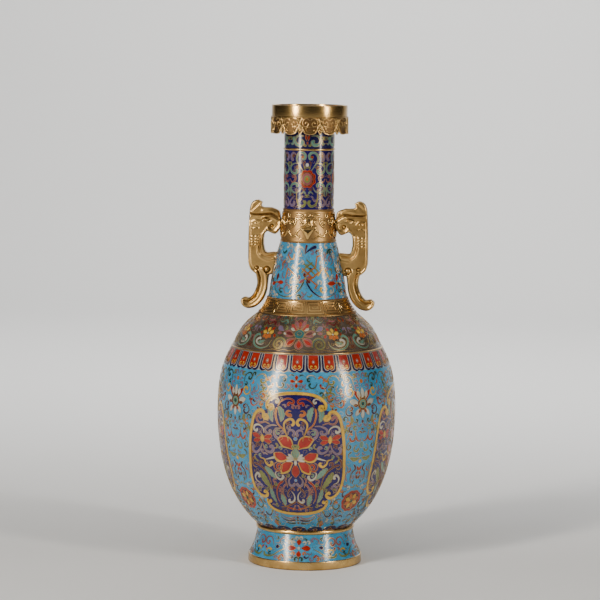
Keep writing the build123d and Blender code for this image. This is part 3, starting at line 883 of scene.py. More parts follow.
# foot of the field: mauve hooks, red stems, mint leaves, pale hooks
for points, width, colour in (
    ([(0.8, 60.2), (1.7, 58.2), (4.2, 58.6), (4.7, 61.8), (2.4, 64.6)], 1.4, "mauve"),
    ([(8.6, 61.2), (11.9, 58.8), (14.0, 54.5), (14.3, 49.4), (12.6, 45.6)], 1.1, "red"),
    ([(6.8, 59.4), (9.0, 56.6), (9.4, 52.4), (7.2, 48.8)], 1.0, "pink"),
    ([(4.5, 49.0), (5.6, 47.4), (3.4, 46.6), (1.3, 48.7), (1.6, 52.0), (3.6, 54.6)], 1.4, "white"),
    ([(0.4, 47.0), (4.0, 45.2), (8.0, 43.6), (13.0, 42.9)], 1.0, "maroon"),
    ([(0.4, 41.4), (4.0, 42.2), (8.0, 43.2), (11.6, 45.4)], 0.9, "red"),
    ([(3.0, 56.2), (5.0, 54.8), (6.4, 52.0), (5.6, 50.0)], 1.0, "maroon"),
    ([(1.0, 54.8), (2.0, 56.6), (3.8, 57.0)], 0.9, "pink"),
    ([(0.6, 44.6), (1.8, 43.4), (3.4, 40.6)], 0.9, "pink"),
    ([(17.4, 44.0), (19.0, 44.6), (20.4, 44.0)], 0.9, "mauve"),
):
    panel.curl(points, width, colour)
panel.leaf([(18.6, 55.8), (18.2, 52.4), (17.4, 49.4), (15.8, 46.0)], 3.6, "mint")
panel.leaf([(10.8, 51.8), (10.0, 49.0), (9.2, 46.4), (9.4, 43.8)], 4.0, "mint")
# the rest of the field, clear of the frame
FRAME_CLEAR = 1.9
panel_edge = np.vstack([through(outline), (through(outline) * (-1, 1))[::-1]])
panel.fill(33.0, 39.0, 118.0, ("mauve", "gilt", "maroon", "mint", "pink", "gilt", "olive"), 1.3,
           lambda spots: inside(spots, panel_edge) & (nearest(spots, panel_edge) > FRAME_CLEAR))
panel.paired = False
for name, turn in zip(SIDES, QUARTERS):
    panel.lay("cartouche_" + name, (turn,), "yellow_enamel", "panel_frame_" + name)

# ---------------------------------------------------------------------------------------------
# Field of the body: turquoise enamel strewn with white lotuses, small red flowers and thin
# scrolls, with one scalloped red flower low down between each pair of cartouches.
# ---------------------------------------------------------------------------------------------
EIGHTHS = tuple(turn + 45 for turn in QUARTERS)


def rosette(middle, wide, tall, scallops=0, depth=0.0, base=1.0, stations=32):
    """A round outline with scallops, in mm, its middle at a height."""
    around = np.linspace(0, 2 * math.pi, stations + 1)[:-1]
    swing = base + depth * np.abs(np.sin(around * scallops))
    return np.c_[wide * swing * np.sin(around), middle + tall * swing * np.cos(around)]


field = Inlay(waist, PANEL_R)

# white lotus with a red inner ring and a green heart
field.petal((0, 113.2), (0, 121.2), 2.8, "white")
field.petal((0, 108.0), (0, 101.4), 2.7, "white")
field.paired = True
for root, tip, width, colour, lift in (
    ((2.2, 112.4), (6.2, 119.6), 2.4, "red", 0.05), ((1.6, 113.0), (3.9, 119.2), 2.8, "white", 0.07),
    ((2.6, 110.6), (9.4, 112.8), 3.8, "white", 0.06), ((3.0, 109.8), (7.0, 110.0), 2.0, "maroon", 0.09),
    ((1.8, 108.4), (5.4, 103.4), 2.8, "white", 0.06), ((1.2, 108.0), (3.0, 105.0), 1.6, "red", 0.09),
    ((0.9, 113.4), (1.9, 115.6), 1.2, "maroon", 0.10),
):
    field.petal(root, tip, width, colour, lift)
for points, width, colour in (
    # dark hooks and coloured curls between the lotus and the cartouche
    ([(9.0, 106.4), (8.2, 104.8), (10.0, 103.6), (12.2, 104.8), (12.4, 107.2), (10.8, 109.0), (9.0, 110.2)],
     1.1, "navy"),
    ([(21.9, 115.9), (21.4, 114.4), (23.4, 113.0), (25.0, 114.6), (26.4, 117.4)], 1.0, "green"),
    ([(15.6, 114.1), (14.0, 112.6), (14.2, 110.4), (16.0, 109.2), (18.6, 110.6),
      (20.6, 113.2)], 1.0, "red"),
    ([(16.8, 112.6), (17.8, 111.6), (19.0, 112.6)], 0.9, "mauve"),
    ([(12.6, 112.4), (13.2, 113.8), (12.2, 115.2)], 0.8, "maroon"),
    ([(21.2, 126.3), (20.2, 125.4), (21.2, 124.0), (23.2, 124.2), (24.2, 126.0), (23.4, 128.4),
      (20.8, 129.5), (17.8, 128.4), (16.0, 126.0)], 1.0, "olive"),
    ([(9.8, 118.2), (10.2, 119.8), (8.5, 120.2), (7.3, 118.0), (9.0, 115.8), (11.8, 116.6), (12.8, 119.6),
      (11.6, 123.2)], 1.1, "yellow"),
    ([(10.9, 127.4), (10.2, 126.0), (11.8, 125.5), (12.8, 127.4), (11.4, 129.4), (8.6, 129.0), (6.8, 126.6),
      (6.4, 123.0)], 1.1, "green"),
    ([(13.6, 122.8), (14.8, 124.0), (14.2, 125.8)], 1.0, "orange"),
    ([(16.6, 121.0), (15.4, 119.8), (16.6, 118.2), (18.6, 119.0), (19.0, 121.4),
      (17.6, 123.2)], 1.0, "mauve"),
    ([(19.8, 116.8), (21.4, 118.4), (24.0, 118.6), (26.4, 120.4)], 0.9, "olive"),
    ([(27.8, 117.6), (26.0, 119.6), (27.0, 122.2), (29.8, 122.6)], 0.9, "white"),
    ([(2.8, 124.0), (3.8, 126.0), (5.4, 125.0)], 1.0, "mauve"),
    # the column of small scrolls under the lotus
    ([(5.4, 101.2), (3.8, 100.2), (5.2, 98.9), (7.0, 99.9), (7.4, 102.6)], 1.0, "green"),
    ([(8.1, 94.2), (8.6, 92.6), (10.0, 94.2), (9.4, 96.0), (7.0, 97.0)], 1.1, "navy"),
    ([(1.0, 98.0), (2.4, 96.4), (3.8, 97.6), (3.4, 99.2)], 1.1, "mauve"),
    ([(9.4, 89.6), (8.4, 87.2), (6.0, 87.4), (5.0, 90.6), (5.6, 93.6)], 1.1, "red"),
    ([(5.0, 90.4), (3.8, 87.6), (1.6, 86.8), (0.6, 88.8)], 1.0, "red"),
    ([(0.4, 91.8), (1.6, 93.0), (3.2, 92.0)], 0.9, "maroon"),
    ([(7.6, 90.6), (8.8, 92.0), (10.4, 90.8), (11.4, 88.0)], 0.9, "orange"),
    ([(9.8, 84.8), (8.4, 83.2), (9.8, 81.4), (11.2, 82.6), (10.6, 85.4), (8.4, 87.0)], 0.9, "green"),
    ([(2.0, 82.2), (3.2, 80.2), (5.6, 80.8), (5.4, 83.2), (3.6, 84.4)], 1.1, "olive"),
    ([(7.4, 80.0), (9.6, 78.2), (8.8, 75.8)], 0.9, "green"),
    ([(1.2, 79.0), (2.4, 77.4), (4.6, 77.8)], 0.9, "mauve"),
    ([(4.6, 71.6), (3.0, 68.6), (5.4, 65.8), (6.1, 62.2), (4.6, 58.6)], 1.0, "navy"),
    ([(8.6, 60.4), (10.2, 64.0), (8.8, 68.6), (11.2, 72.0)], 0.9, "mauve"),
    ([(8.4, 66.2), (6.8, 67.8), (7.4, 70.0)], 0.9, "red"),
    ([(2.6, 61.0), (3.6, 59.4), (2.4, 57.8)], 1.0, "green"),
    ([(7.2, 58.2), (9.0, 56.8), (10.8, 58.2), (12.0, 61.4)], 0.9, "mauve"),
    ([(0.6, 57.6), (2.0, 56.0), (4.4, 56.4)], 0.9, "olive"),
    # scrolls round the scalloped flower
    ([(11.4, 44.9), (9.8, 43.0), (11.8, 41.0), (14.9, 42.4), (15.8, 45.6), (13.2, 48.2),
      (9.2, 48.0)], 1.2, "green"),
    ([(8.0, 49.8), (9.6, 50.4), (9.6, 52.8), (6.6, 54.0)], 1.1, "navy"),
    ([(16.2, 38.8), (16.0, 36.8), (18.4, 36.0), (20.8, 37.2), (22.8, 40.0)], 1.2, "navy"),
    ([(9.8, 39.4), (7.2, 39.6), (4.6, 38.0)], 1.1, "green"),
    ([(12.2, 37.6), (14.0, 39.4), (12.8, 40.4)], 1.0, "mauve"),
    ([(18.6, 44.6), (17.6, 46.6), (19.0, 48.6)], 1.0, "maroon"),
    ([(2.4, 34.8), (5.0, 36.2), (8.6, 35.4), (11.6, 34.0)], 1.0, "navy"),
    ([(1.0, 31.4), (4.0, 32.8), (8.0, 32.0)], 0.9, "green"),
):
    field.curl(points, width, colour, wire=0.24)
for root, tip, width, colour in (
    ((1.9, 70.4), (0.3, 67.3), 1.7, "red"), ((0.3, 67.0), (1.9, 64.6), 1.7, "red"),
    ((1.9, 64.4), (0.3, 61.6), 1.7, "maroon"), ((14.8, 113.6), (17.4, 111.2), 1.2, "navy"),
):
    field.petal(root, tip, width, colour, wire=0.22)
field.leaf([(8.6, 103.4), (8.4, 100.6), (7.9, 97.6)], 1.9, "olive", 3)
field.leaf([(8.0, 76.2), (4.8, 74.8), (0.8, 75.8)], 2.9, "olive", 3)
field.paired = False
field.blob((0, 110.8), (7.6, 8.0), "maroon", 0.11)
field.blob((0, 110.8), (5.4, 5.8), "mint", 0.15)
field.blob((0, 110.9), (2.6, 2.8), "green", 0.19)
field.blob((0, 125.2), (2.4, 2.6), "orange")
field.blob((0, 94.6), (1.8, 1.4), "maroon")
field.blob((0, 99.4), (1.7, 2.3), "maroon")
field.blob((0, 84.2), (2.8, 4.2), "mint")
field.blob((0, 73.4), (2.2, 2.6), "yellow")
# the scalloped red flower
FLOWER_UP = 46.4
field.area(rosette(FLOWER_UP, 8.4, 6.9, 5, 0.07, stations=72), "red", 0.08)
field.area(rosette(FLOWER_UP, 6.6, 5.4, 5, 0.07, stations=72), "maroon", 0.11, 0.2)
for k in range(8):
    a = 2 * math.pi * (k + 0.5) / 8
    root = (1.3 * math.sin(a), FLOWER_UP + 1.1 * math.cos(a))
    tip = (6.3 * math.sin(a), FLOWER_UP + 5.2 * math.cos(a))
    field.petal(root, tip, 2.7, ("yellow", "orange")[k % 2], 0.15, 0.62)
field.blob((0, FLOWER_UP), (2.4, 2.1), "green", 0.21)
field.paired = True
# the frame of the next cartouche, seen from the middle between two
next_frame = np.c_[PANEL_R * math.pi / 4 - panel_edge[:, 0], panel_edge[:, 1]]
strewn = ("orange", "green", "gilt", "mauve", "olive", "gilt", "maroon", "white")
field.fill(22.2, 30.5, 130.0, strewn, 1.5,
           lambda spots: ~inside(spots, next_frame) & (nearest(spots, next_frame) > FRAME_CLEAR))
field.paired = False
field.lay("field_right", EIGHTHS[:2], "turquoise_enamel")
field.lay("field_left", EIGHTHS[2:], "turquoise_enamel")

# over and under each cartouche
margin = Inlay(waist, PANEL_R)
margin.paired = True
margin.petal((0.7, 125.6), (4.3, 126.3), 2.1, "red")
for points, width, colour in (
    ([(9.6, 124.8), (8.2, 123.6), (9.6, 121.7), (12.2, 122.4), (13.4, 125.0)], 1.0, "green"),
    ([(15.4, 124.4), (16.2, 122.0), (19.0, 121.7), (20.6, 124.2)], 1.0, "red"),
    ([(14.2, 127.4), (15.8, 128.8), (17.6, 127.4), (17.2, 124.6)], 1.0, "orange"),
    ([(6.2, 124.2), (5.0, 122.4), (6.4, 120.8), (8.0, 121.4)], 0.9, "mauve"),
    ([(6.4, 128.0), (8.2, 129.6), (11.4, 129.4), (12.6, 127.2)], 0.9, "white"),
    ([(1.4, 121.6), (3.0, 120.8), (4.2, 122.0)], 0.8, "olive"),
    ([(1.8, 129.2), (3.4, 130.0), (5.0, 129.2)], 0.8, "green"),
    ([(1.8, 36.0), (5.4, 34.8), (10.4, 35.2), (15.4, 37.6)], 1.2, "mauve"),
    ([(1.8, 33.6), (7.0, 33.0), (12.2, 33.6), (16.0, 36.0)], 1.2, "navy"),
    ([(2.2, 31.4), (7.0, 30.9), (12.0, 31.8)], 1.1, "green"),
    ([(17.8, 33.6), (19.8, 35.4), (22.6, 35.0)], 1.0, "olive"),
):
    margin.curl(points, width, colour, wire=0.24)
margin.paired = False
margin.petal((0, 126.4), (0, 129.6), 2.1, "red")
margin.petal((0, 124.8), (0, 121.8), 2.1, "red")
margin.blob((0, 125.6), (1.7, 1.7), "white", 0.12)
margin.blob((0, 35.6), (2.4, 1.8), "maroon")
margin.blob((0, 33.6), (2.8, 1.3), "green")
margin.blob((0, 31.4), (2.0, 1.5), "maroon")
margin.paired = True
margin.fill(22.2, 30.5, 130.0, ("olive", "gilt", "orange", "green", "gilt", "mauve"), 1.5,
            lambda spots: ~inside(spots, panel_edge) & (nearest(spots, panel_edge) > FRAME_CLEAR))
margin.paired = False
margin.lay("margin", QUARTERS, "turquoise_enamel")


def evenly(count, first=0.0):
    """So many turns in degrees, spaced evenly round the vase from a first one."""
    return [first + 360 / count * k for k in range(count)]


# a row of dark blue petals stands on the foot fillet
HEM_PETALS = 20
HEM_R = 35.0
HEM_TALL = 3.4
HEM_GAP = 0.2
hem_low = span("body_enamel")[0]
hem = Inlay(waist, HEM_R)
half_petal = math.pi * HEM_R / HEM_PETALS - HEM_GAP
a = np.linspace(0, math.pi, 19)
arch = np.c_[half_petal * np.cos(a), hem_low + HEM_GAP + HEM_TALL * np.sin(a) ** 0.8]
hem.area(np.vstack([arch, [(0, hem_low + HEM_GAP)]]), "navy")
hem.blob((0, hem_low + 1.4), (3.4, 1.3), "maroon", 0.12)
hem.lay("hem", evenly(HEM_PETALS), "turquoise_enamel")

# ---------------------------------------------------------------------------------------------
# Lappet band: thirty-two red tongues, edged with white and dark blue, hang side by side under the
# shoulder ring, a half-round gilt wire that closes the body's field.
# ---------------------------------------------------------------------------------------------
BAND_LOW, BAND_HIGH = span("lappet_band")
LAPPETS = 32
LAPPET_R = 51.6
ENAMELS["stripe"] = enamel("enamel_stripe", (0.223, 0.26, 0.285))
ground("lappet_ground", waist, "lappet_band", "stripe", "red_enamel", 0.8)
lappets = Inlay(waist, LAPPET_R)


def tongue(half, foot):
    """The outline of a tongue with a double-lobed end, from its half width and its lowest height."""
    right = through([(half, BAND_HIGH - 0.3), (half, foot + 2.9), (half * 0.9, foot + 1.1),
                     (half * 0.5, foot), (half * 0.18, foot + 0.35), (0, foot + 1.0)], 0.7)
    return np.vstack([right, (right * (-1, 1))[-2::-1]])


lappets.area(tongue(4.66, BAND_LOW - 0.5), "navy", 0.05, 0.3)
lappets.area(tongue(3.5, BAND_LOW + 0.7), "white", 0.09, 0)
lappets.area(tongue(3.15, BAND_LOW + 1.1), "red", 0.13, 0.2)
lappets.blob((0, BAND_LOW + 6.0), (1.9, 2.4), "pink", 0.19, wire=0.2)
lappets.blob((0, BAND_LOW + 6.0), (0.9, 1.1), "white", 0.22, wire=0)
lappets.paired = True
lappets.curl([(0.5, BAND_LOW + 3.3), (1.5, BAND_LOW + 3.5), (1.9, BAND_LOW + 2.6), (1.0, BAND_LOW + 2.0),
              (0.2, BAND_LOW + 2.6)], 0.8, "yellow", 0.18, wire=0.18)
lappets.paired = False
lappets.lay("lappets", evenly(LAPPETS), "red_enamel")


def half_round(node, middle, wide, tall, back, sweep):
    """The section of a half-round ring, in mm, with a flat back between a CAD node's heights."""
    low, high = span(node)
    face = [(middle + wide * math.cos(a), (low + high) / 2 + tall * math.sin(a))
            for a in np.linspace(-sweep, sweep, 9)]
    return face + [(back, high), (back, low)]


ring_r = waist(sum(span("shoulder_ring")) / 2)[0]
ring_section = half_round("shoulder_ring", ring_r - 0.6, 1.1, 0.55, ring_r - 1.2, 1.5)
fit_out(turned("shoulder_ring_turned", ring_section), gilt, "gilt_bronze", "shoulder_ring")

# ---------------------------------------------------------------------------------------------
# Shoulder: a grey-brown enamel ground with a lotus over each cartouche, yellow flowers between,
# leafy C-scrolls, doubled cells wound into spirals, and a wavy wire along the foot of the zone.
# ---------------------------------------------------------------------------------------------
ENAMELS["umber"] = enamel("enamel_umber", (0.060, 0.044, 0.032), cloud=0.3)
ENAMELS["teal"] = enamel("enamel_teal", (0.00496, 0.0744, 0.0744))
SHOULDER_R = 44.0
SHOULDER_LOTUS_UP = 154.4
ground("shoulder_ground", waist, "shoulder_enamel", "umber", "shoulder_enamel", 1.0)
shoulder = Inlay(waist, SHOULDER_R)
shoulder.petal((0, 157.0), (0, 163.4), 7.0, "maroon", 0.05)
shoulder.petal((0, 151.6), (0, 145.2), 5.2, "pink", 0.07)
shoulder.petal((0, 151.0), (0, 146.0), 3.0, "red", 0.12)
shoulder.paired = True
for root, tip, width, colour, lift in (
    ((0.8, 157.2), (4.2, 162.4), 3.0, "pink", 0.07), ((1.6, 156.6), (6.6, 160.2), 2.6, "red", 0.07),
    ((3.0, 156.4), (6.4, 158.0), 1.8, "white", 0.1),
    ((2.6, 153.6), (10.6, 155.6), 4.2, "pink", 0.07), ((3.4, 153.9), (9.0, 155.6), 2.2, "maroon", 0.12),
    ((8.6, 154.0), (10.9, 155.2), 1.3, "white", 0.16),
    ((2.0, 152.2), (8.4, 147.6), 4.8, "pink", 0.07), ((2.6, 151.5), (7.4, 148.0), 2.4, "red", 0.12),
    ((10.8, 156.2), (16.4, 158.8), 3.0, "mauve", 0.06), ((11.6, 155.0), (15.4, 155.0), 1.8, "pink", 0.06),
):
    shoulder.petal(root, tip, width, colour, lift)
# doubled cells wound into spirals
for widest, colour in ((4.8, "olive"), (4.0, "teal")):
    shoulder.band(spiral((12.7, 148.3), widest, 0.8, 1.9, 200, -1), 0.34, colour, 0.05, 0.24)
# leafy C-scrolls
shoulder.curl([(27.6, 152.2), (29.2, 153.4), (32.0, 151.8), (31.6, 148.6), (28.8, 146.0), (24.0, 145.0),
               (19.8, 146.8), (18.2, 150.4)], 1.3, "mint")
shoulder.curl([(26.0, 150.4), (27.6, 151.0), (29.4, 149.6), (28.0, 147.8), (24.8, 147.2), (22.6, 148.6)],
              1.4, "white")
shoulder.leaf([(28.2, 148.4), (25.4, 148.8), (22.6, 149.8)], 2.2, "mint", 3)
# yellow flowers with red sepals
for root, tip, width, colour, lift in (
    ((22.4, 154.8), (22.4, 158.0), 2.6, "yellow", 0.1), ((22.4, 153.8), (22.6, 150.8), 2.6, "orange", 0.1),
    ((22.0, 154.4), (18.2, 155.6), 2.6, "yellow", 0.1), ((22.8, 154.4), (26.8, 155.4), 2.6, "yellow", 0.1),
    ((22.0, 153.8), (19.4, 151.8), 2.2, "orange", 0.1), ((22.8, 153.8), (25.6, 151.8), 2.2, "orange", 0.1),
    ((20.6, 156.0), (18.4, 158.0), 2.0, "red", 0.06), ((24.2, 156.0), (26.8, 157.6), 2.0, "red", 0.06),
    ((17.8, 154.4), (16.2, 152.2), 1.7, "red", 0.06), ((27.2, 154.2), (28.8, 154.4), 1.7, "red", 0.06),
):
    shoulder.petal(root, tip, width, colour, lift)
shoulder.blob((22.4, 154.3), (1.5, 1.3), "white", 0.17)
for points, width, colour in (
    ([(19.6, 159.0), (21.4, 161.2), (25.8, 159.8), (29.6, 161.6), (31.8, 159.6)], 1.4, "maroon"),
    ([(22.4, 162.6), (26.0, 161.8), (29.8, 163.0)], 1.1, "pink"),
    ([(9.6, 160.6), (11.6, 162.6), (15.0, 161.4), (18.0, 162.6)], 1.1, "mint"),
    ([(14.2, 152.6), (16.0, 154.0)], 0.9, "teal"),
    ([(30.6, 156.6), (33.0, 157.8), (33.4, 155.2), (31.0, 154.6)], 1.2, "mauve"),
    ([(33.6, 161.4), (32.0, 163.0), (33.8, 164.0)], 1.0, "red"),
    ([(33.9, 152.8), (33.2, 150.4), (33.9, 148.0)], 1.0, "pink"),
    ([(6.6, 163.0), (8.2, 162.0), (7.6, 159.4)], 0.9, "teal"),
):
    shoulder.curl(points, width, colour)
wavy = [(0.3, 144.2), (2.4, 145.2), (5.6, 144.5), (8.8, 145.1), (12.0, 144.3), (15.6, 145.0), (18.6, 144.4),
        (22.6, 144.0), (26.6, 144.5), (30.6, 144.0), (34.4, 144.4)]
shoulder.wire(through(wavy), 0.3, 0.12)
shoulder.fill(34.3, 145.8, 164.4, ("maroon", "gilt", "pink", "olive", "gilt", "teal"), 1.2,
              lambda spots: np.hypot(spots[:, 0], (spots[:, 1] - SHOULDER_LOTUS_UP) * 1.2) > 4.6)
shoulder.paired = False
shoulder.blob((0, 154.5), (6.8, 5.4), "teal", 0.14, wire=0.36)
shoulder.blob((0, 154.9), (3.0, 2.0), "green", 0.19)
shoulder.petal((0, 157.8), (0, 161.8), 2.4, "red", 0.12)
shoulder.lay("shoulder", QUARTERS, "shoulder_enamel")

# ---------------------------------------------------------------------------------------------
# Collar: a cast and gilded ring pushed down over the seam of the two coppers, with a key fret
# standing between beaded edges. The ring is toned with age, the fret is rubbed bright.
# ---------------------------------------------------------------------------------------------
COLLAR_PROUD = 0.35


def collar_face(height):
    """The radius and slope of the collar's outside, a little proud of the body's curve."""
    radius, slope = waist(height)
    return radius + COLLAR_PROUD, slope


def bead(distance, place, tall, wide):
    """A rounded bead, so tall and wide, at a place along a distance."""
    return tall * np.exp(-((distance - place) / wide) ** 2)


collar_low, collar_high = span("key_fret_collar")
heights = np.linspace(collar_low, collar_high, 31)
radii = collar_face(heights)[0]
from_edge = np.minimum(heights - collar_low, collar_high - heights)
outside = list(zip(radii + bead(from_edge, 0.55, 0.45, 0.42), heights))
collar_section = outside + list(zip(radii[::-1] - COLLAR_PROUD - SKIN, heights[::-1]))
aged = gilding("gilt_aged", (0.40, 0.24, 0.09), (0.20, 0.11, 0.04), (0.02, 0.01, 0.004), 0.42)
polished = gilding("gilt_polished", (0.74, 0.48, 0.18), (0.46, 0.28, 0.09),
                   (0.05, 0.024, 0.008), 0.2, 1400.0, 34.0)
fit_out(turned("collar_turned", collar_section), aged, "gilt_bronze", "key_fret_collar")

# one key, drawn from its foot inwards, and the bar that parts it from the next
FRETS = 16
FRET_TURN = 3.8
FRET_R = 28.5
FRET_LIFT = 0.2
fret = Inlay(collar_face, FRET_R)
fret_path = [(4.7, 166.5), (-4.4, 166.5), (-4.4, 173.7), (4.2, 173.7), (4.2, 168.2), (-2.7, 168.2),
             (-2.7, 172.0), (2.5, 172.0), (2.5, 169.9), (-1.0, 169.9), (-1.0, 170.8)]
for start, end in zip(fret_path[:-1], fret_path[1:]):
    start, end = np.array(start), np.array(end)
    run = (end - start) / np.linalg.norm(end - start) * 0.22
    fret.wire(np.linspace(start - run, end + run, 7), 0.72, FRET_LIFT)
fret.wire(np.linspace((-5.6, 166.2), (-5.6, 174.0), 9), 0.6, FRET_LIFT)
fret.lay("fret", evenly(FRETS, FRET_TURN + 180 / FRETS), "gilt_bronze", metal=polished)

# ---------------------------------------------------------------------------------------------
# Lower neck: a copper bell under turquoise enamel. A bundle of ribbons and trellis tied at a pink
# flower shows twice round it, with scrolls and a yellow flower under each handle.
# ---------------------------------------------------------------------------------------------
BELL_R = 24.0
UNDER_HANDLE = 37.7
ground("bell_ground", waist, "lower_neck_enamel", "turquoise", "turquoise_enamel", 1.2)
bell = Inlay(waist, BELL_R)
# ribbon ends, cords and loose scrolls round the bundle
for points, width, colour in (
    ([(9.8, 208.9), (7.4, 208.4), (4.0, 207.0), (0.6, 204.6)], 1.8, "navy"),
    ([(1.8, 210.2), (1.0, 207.6), (0.6, 204.0)], 1.4, "maroon"),
    ([(-6.4, 205.4), (-7.6, 207.6), (-4.4, 208.9), (-1.0, 207.4), (-0.3, 203.8)], 1.1, "white"),
    ([(10.2, 206.8), (8.8, 205.4), (10.0, 203.9)], 1.0, "maroon"),
    ([(12.4, 209.0), (14.6, 207.4), (13.8, 205.4)], 0.9, "mauve"),
    ([(-9.4, 209.0), (-10.8, 207.0), (-9.8, 205.2)], 0.9, "blue"),
    ([(1.5, 187.0), (4.9, 181.4), (9.2, 177.7), (13.7, 176.6), (19.4, 177.8), (23.8, 181.1),
      (24.8, 184.4)], 0.8, "navy"),
    ([(0.4, 187.0), (-2.6, 181.6), (-6.8, 178.0), (-11.6, 176.6), (-17.0, 177.8), (-21.6, 181.2),
      (-22.8, 184.4)], 0.8, "green"),
    ([(-9.9, 181.9), (-9.6, 183.4), (-11.6, 184.2), (-13.4, 182.0), (-12.4, 179.2), (-9.6, 178.9),
      (-8.0, 181.0)], 1.0, "mauve"),
    ([(12.6, 182.2), (11.2, 182.6), (11.4, 180.4), (13.9, 179.8), (15.0, 182.2),
      (13.2, 184.6)], 1.0, "yellow"),
    ([(18.6, 181.4), (18.0, 179.4), (20.1, 179.8), (20.0, 182.8), (17.2, 183.2)], 1.0, "white"),
    ([(-3.6, 184.2), (-5.2, 182.8), (-4.0, 181.0)], 0.9, "olive"),
    ([(-6.6, 186.6), (-8.8, 185.8), (-8.6, 188.4), (-6.0, 189.6)], 1.0, "white"),
    ([(14.6, 192.6), (13.0, 190.8), (14.4, 188.8), (16.4, 190.2), (15.8, 193.0)], 1.1, "white"),
    ([(13.0, 196.8), (11.4, 195.4), (12.0, 192.8)], 1.0, "mauve"),
    ([(20.4, 199.0), (19.2, 200.8), (20.8, 202.6), (22.8, 201.2), (22.2, 198.4),
      (19.8, 196.8)], 1.1, "mauve"),
    ([(18.2, 204.0), (20.4, 206.4), (24.0, 206.6), (26.4, 204.4)], 1.5, "green"),
    ([(-15.4, 206.2), (-17.8, 204.4), (-20.8, 205.8)], 1.4, "green"),
    ([(-15.2, 199.6), (-17.6, 197.6), (-16.6, 194.8), (-18.8, 192.6)], 1.2, "orange"),
    ([(-4.2, 201.6), (-5.6, 199.6), (-4.4, 197.6), (-2.8, 198.8)], 1.0, "blue"),
    ([(-3.0, 195.6), (-4.8, 194.0), (-3.8, 192.0)], 0.9, "white"),
    ([(18.8, 194.8), (20.6, 193.4), (20.2, 191.0)], 1.1, "olive"),
    ([(-14.6, 188.0), (-16.4, 190.2), (-15.4, 192.4)], 1.0, "mauve"),
    ([(5.6, 178.6), (4.2, 177.0), (2.0, 177.8)], 0.9, "olive"),
    ([(-1.2, 180.2), (0.6, 178.2), (2.4, 180.4)], 0.9, "mauve"),
):
    bell.curl(points, width, colour, wire=0.24)
# under a handle: three pairs of scrolls that face each other
for points, width, colour in (
    ([(31.0, 180.6), (33.6, 179.0), (36.4, 181.0), (35.2, 184.2), (31.6, 185.0),
      (29.0, 188.6)], 1.2, "red"),
    ([(34.0, 191.0), (36.0, 193.6), (33.4, 195.8), (30.6, 193.8)], 1.1, "navy"),
    ([(33.6, 200.0), (35.8, 202.6), (33.6, 205.2), (30.8, 203.4)], 1.1, "green"),
):
    bell.curl(points, width, colour, wire=0.24)
    bell.curl([(2 * UNDER_HANDLE - x, z) for x, z in points], width, colour, wire=0.24)
# the trellis and folded ribbons
for points, colour in (
    ([(2.0, 200.4), (6.6, 196.8), (9.4, 193.4)], "olive"),
    ([(0.2, 197.8), (5.4, 193.4), (7.4, 191.2)], "olive"),
    ([(-1.0, 194.8), (3.4, 191.4), (5.4, 189.6)], "orange"),
    ([(5.6, 198.8), (1.0, 195.4), (-1.2, 192.6)], "olive"),
    ([(8.2, 196.2), (3.6, 192.8), (1.4, 190.4)], "orange"),
    ([(10.0, 192.6), (6.4, 189.4), (3.4, 188.2)], "orange"),
    ([(8.3, 196.8), (9.6, 202.7), (13.2, 203.4), (13.6, 200.4)], "orange"),
    ([(-13.8, 203.4), (-10.4, 200.6), (-8.2, 201.0), (-8.0, 203.6)], "orange"),
    ([(-12.9, 188.9), (-12.0, 194.8), (-5.4, 190.4)], "orange"),
    ([(9.6, 190.6), (13.6, 195.4), (17.4, 190.2)], "yellow"),
    ([(4.4, 188.0), (6.4, 186.2), (8.8, 184.4), (7.5, 182.6)], "orange"),
):
    bell.strap(points, 0.85, colour)
# the pink flower of the knot, the red ones beside it, and the one under a handle
for root, tip, width, colour in (
    ((1.1, 188.6), (-3.0, 185.6), 1.9, "pink"), ((1.0, 189.0), (0.2, 192.4), 1.8, "maroon"),
    ((1.5, 188.4), (4.4, 185.8), 1.8, "maroon"), ((1.4, 188.9), (4.8, 190.0), 1.6, "pink"),
    ((23.4, 185.2), (16.2, 185.2), 3.0, "red"), ((23.9, 186.0), (25.6, 191.2), 2.6, "red"),
    ((24.6, 185.4), (29.0, 183.2), 2.4, "maroon"), ((23.6, 184.4), (23.4, 181.2), 2.0, "pink"),
    ((-20.4, 185.4), (-14.4, 185.6), 2.6, "red"), ((-21.0, 186.2), (-20.2, 191.2), 2.6, "maroon"),
    ((-21.6, 185.2), (-26.4, 183.6), 2.6, "red"),
    ((UNDER_HANDLE, 187.6), (UNDER_HANDLE, 192.4), 2.6, "yellow"),
    ((UNDER_HANDLE, 186.8), (UNDER_HANDLE, 182.8), 2.6, "yellow"),
    ((37.3, 187.2), (33.6, 188.4), 2.2, "red"), ((38.1, 187.2), (41.8, 188.4), 2.2, "red"),
    ((UNDER_HANDLE, 197.0), (UNDER_HANDLE, 201.4), 2.4, "mauve"),
):
    bell.petal(root, tip, width, colour)
bell.blob((1.2, 188.7), (1.2, 1.1), "yellow", 0.13)
bell.blob((24.0, 185.3), (1.3, 1.2), "yellow", 0.13)
bell.blob((-20.9, 185.4), (1.3, 1.2), "yellow", 0.13)
bell.blob((UNDER_HANDLE, 187.2), (1.5, 1.4), "green", 0.13)
bell.blob((2.6, 197.4), (1.8, 1.6), "mint", 0.04)
bell.blob((4.4, 195.0), (1.6, 1.4), "navy", 0.04)
bell.fill(37.4, 176.6, 210.2, ("white", "gilt", "mauve", "white", "gilt", "green"), 1.5)
bell.lay("bell", (0, 180), "turquoise_enamel")

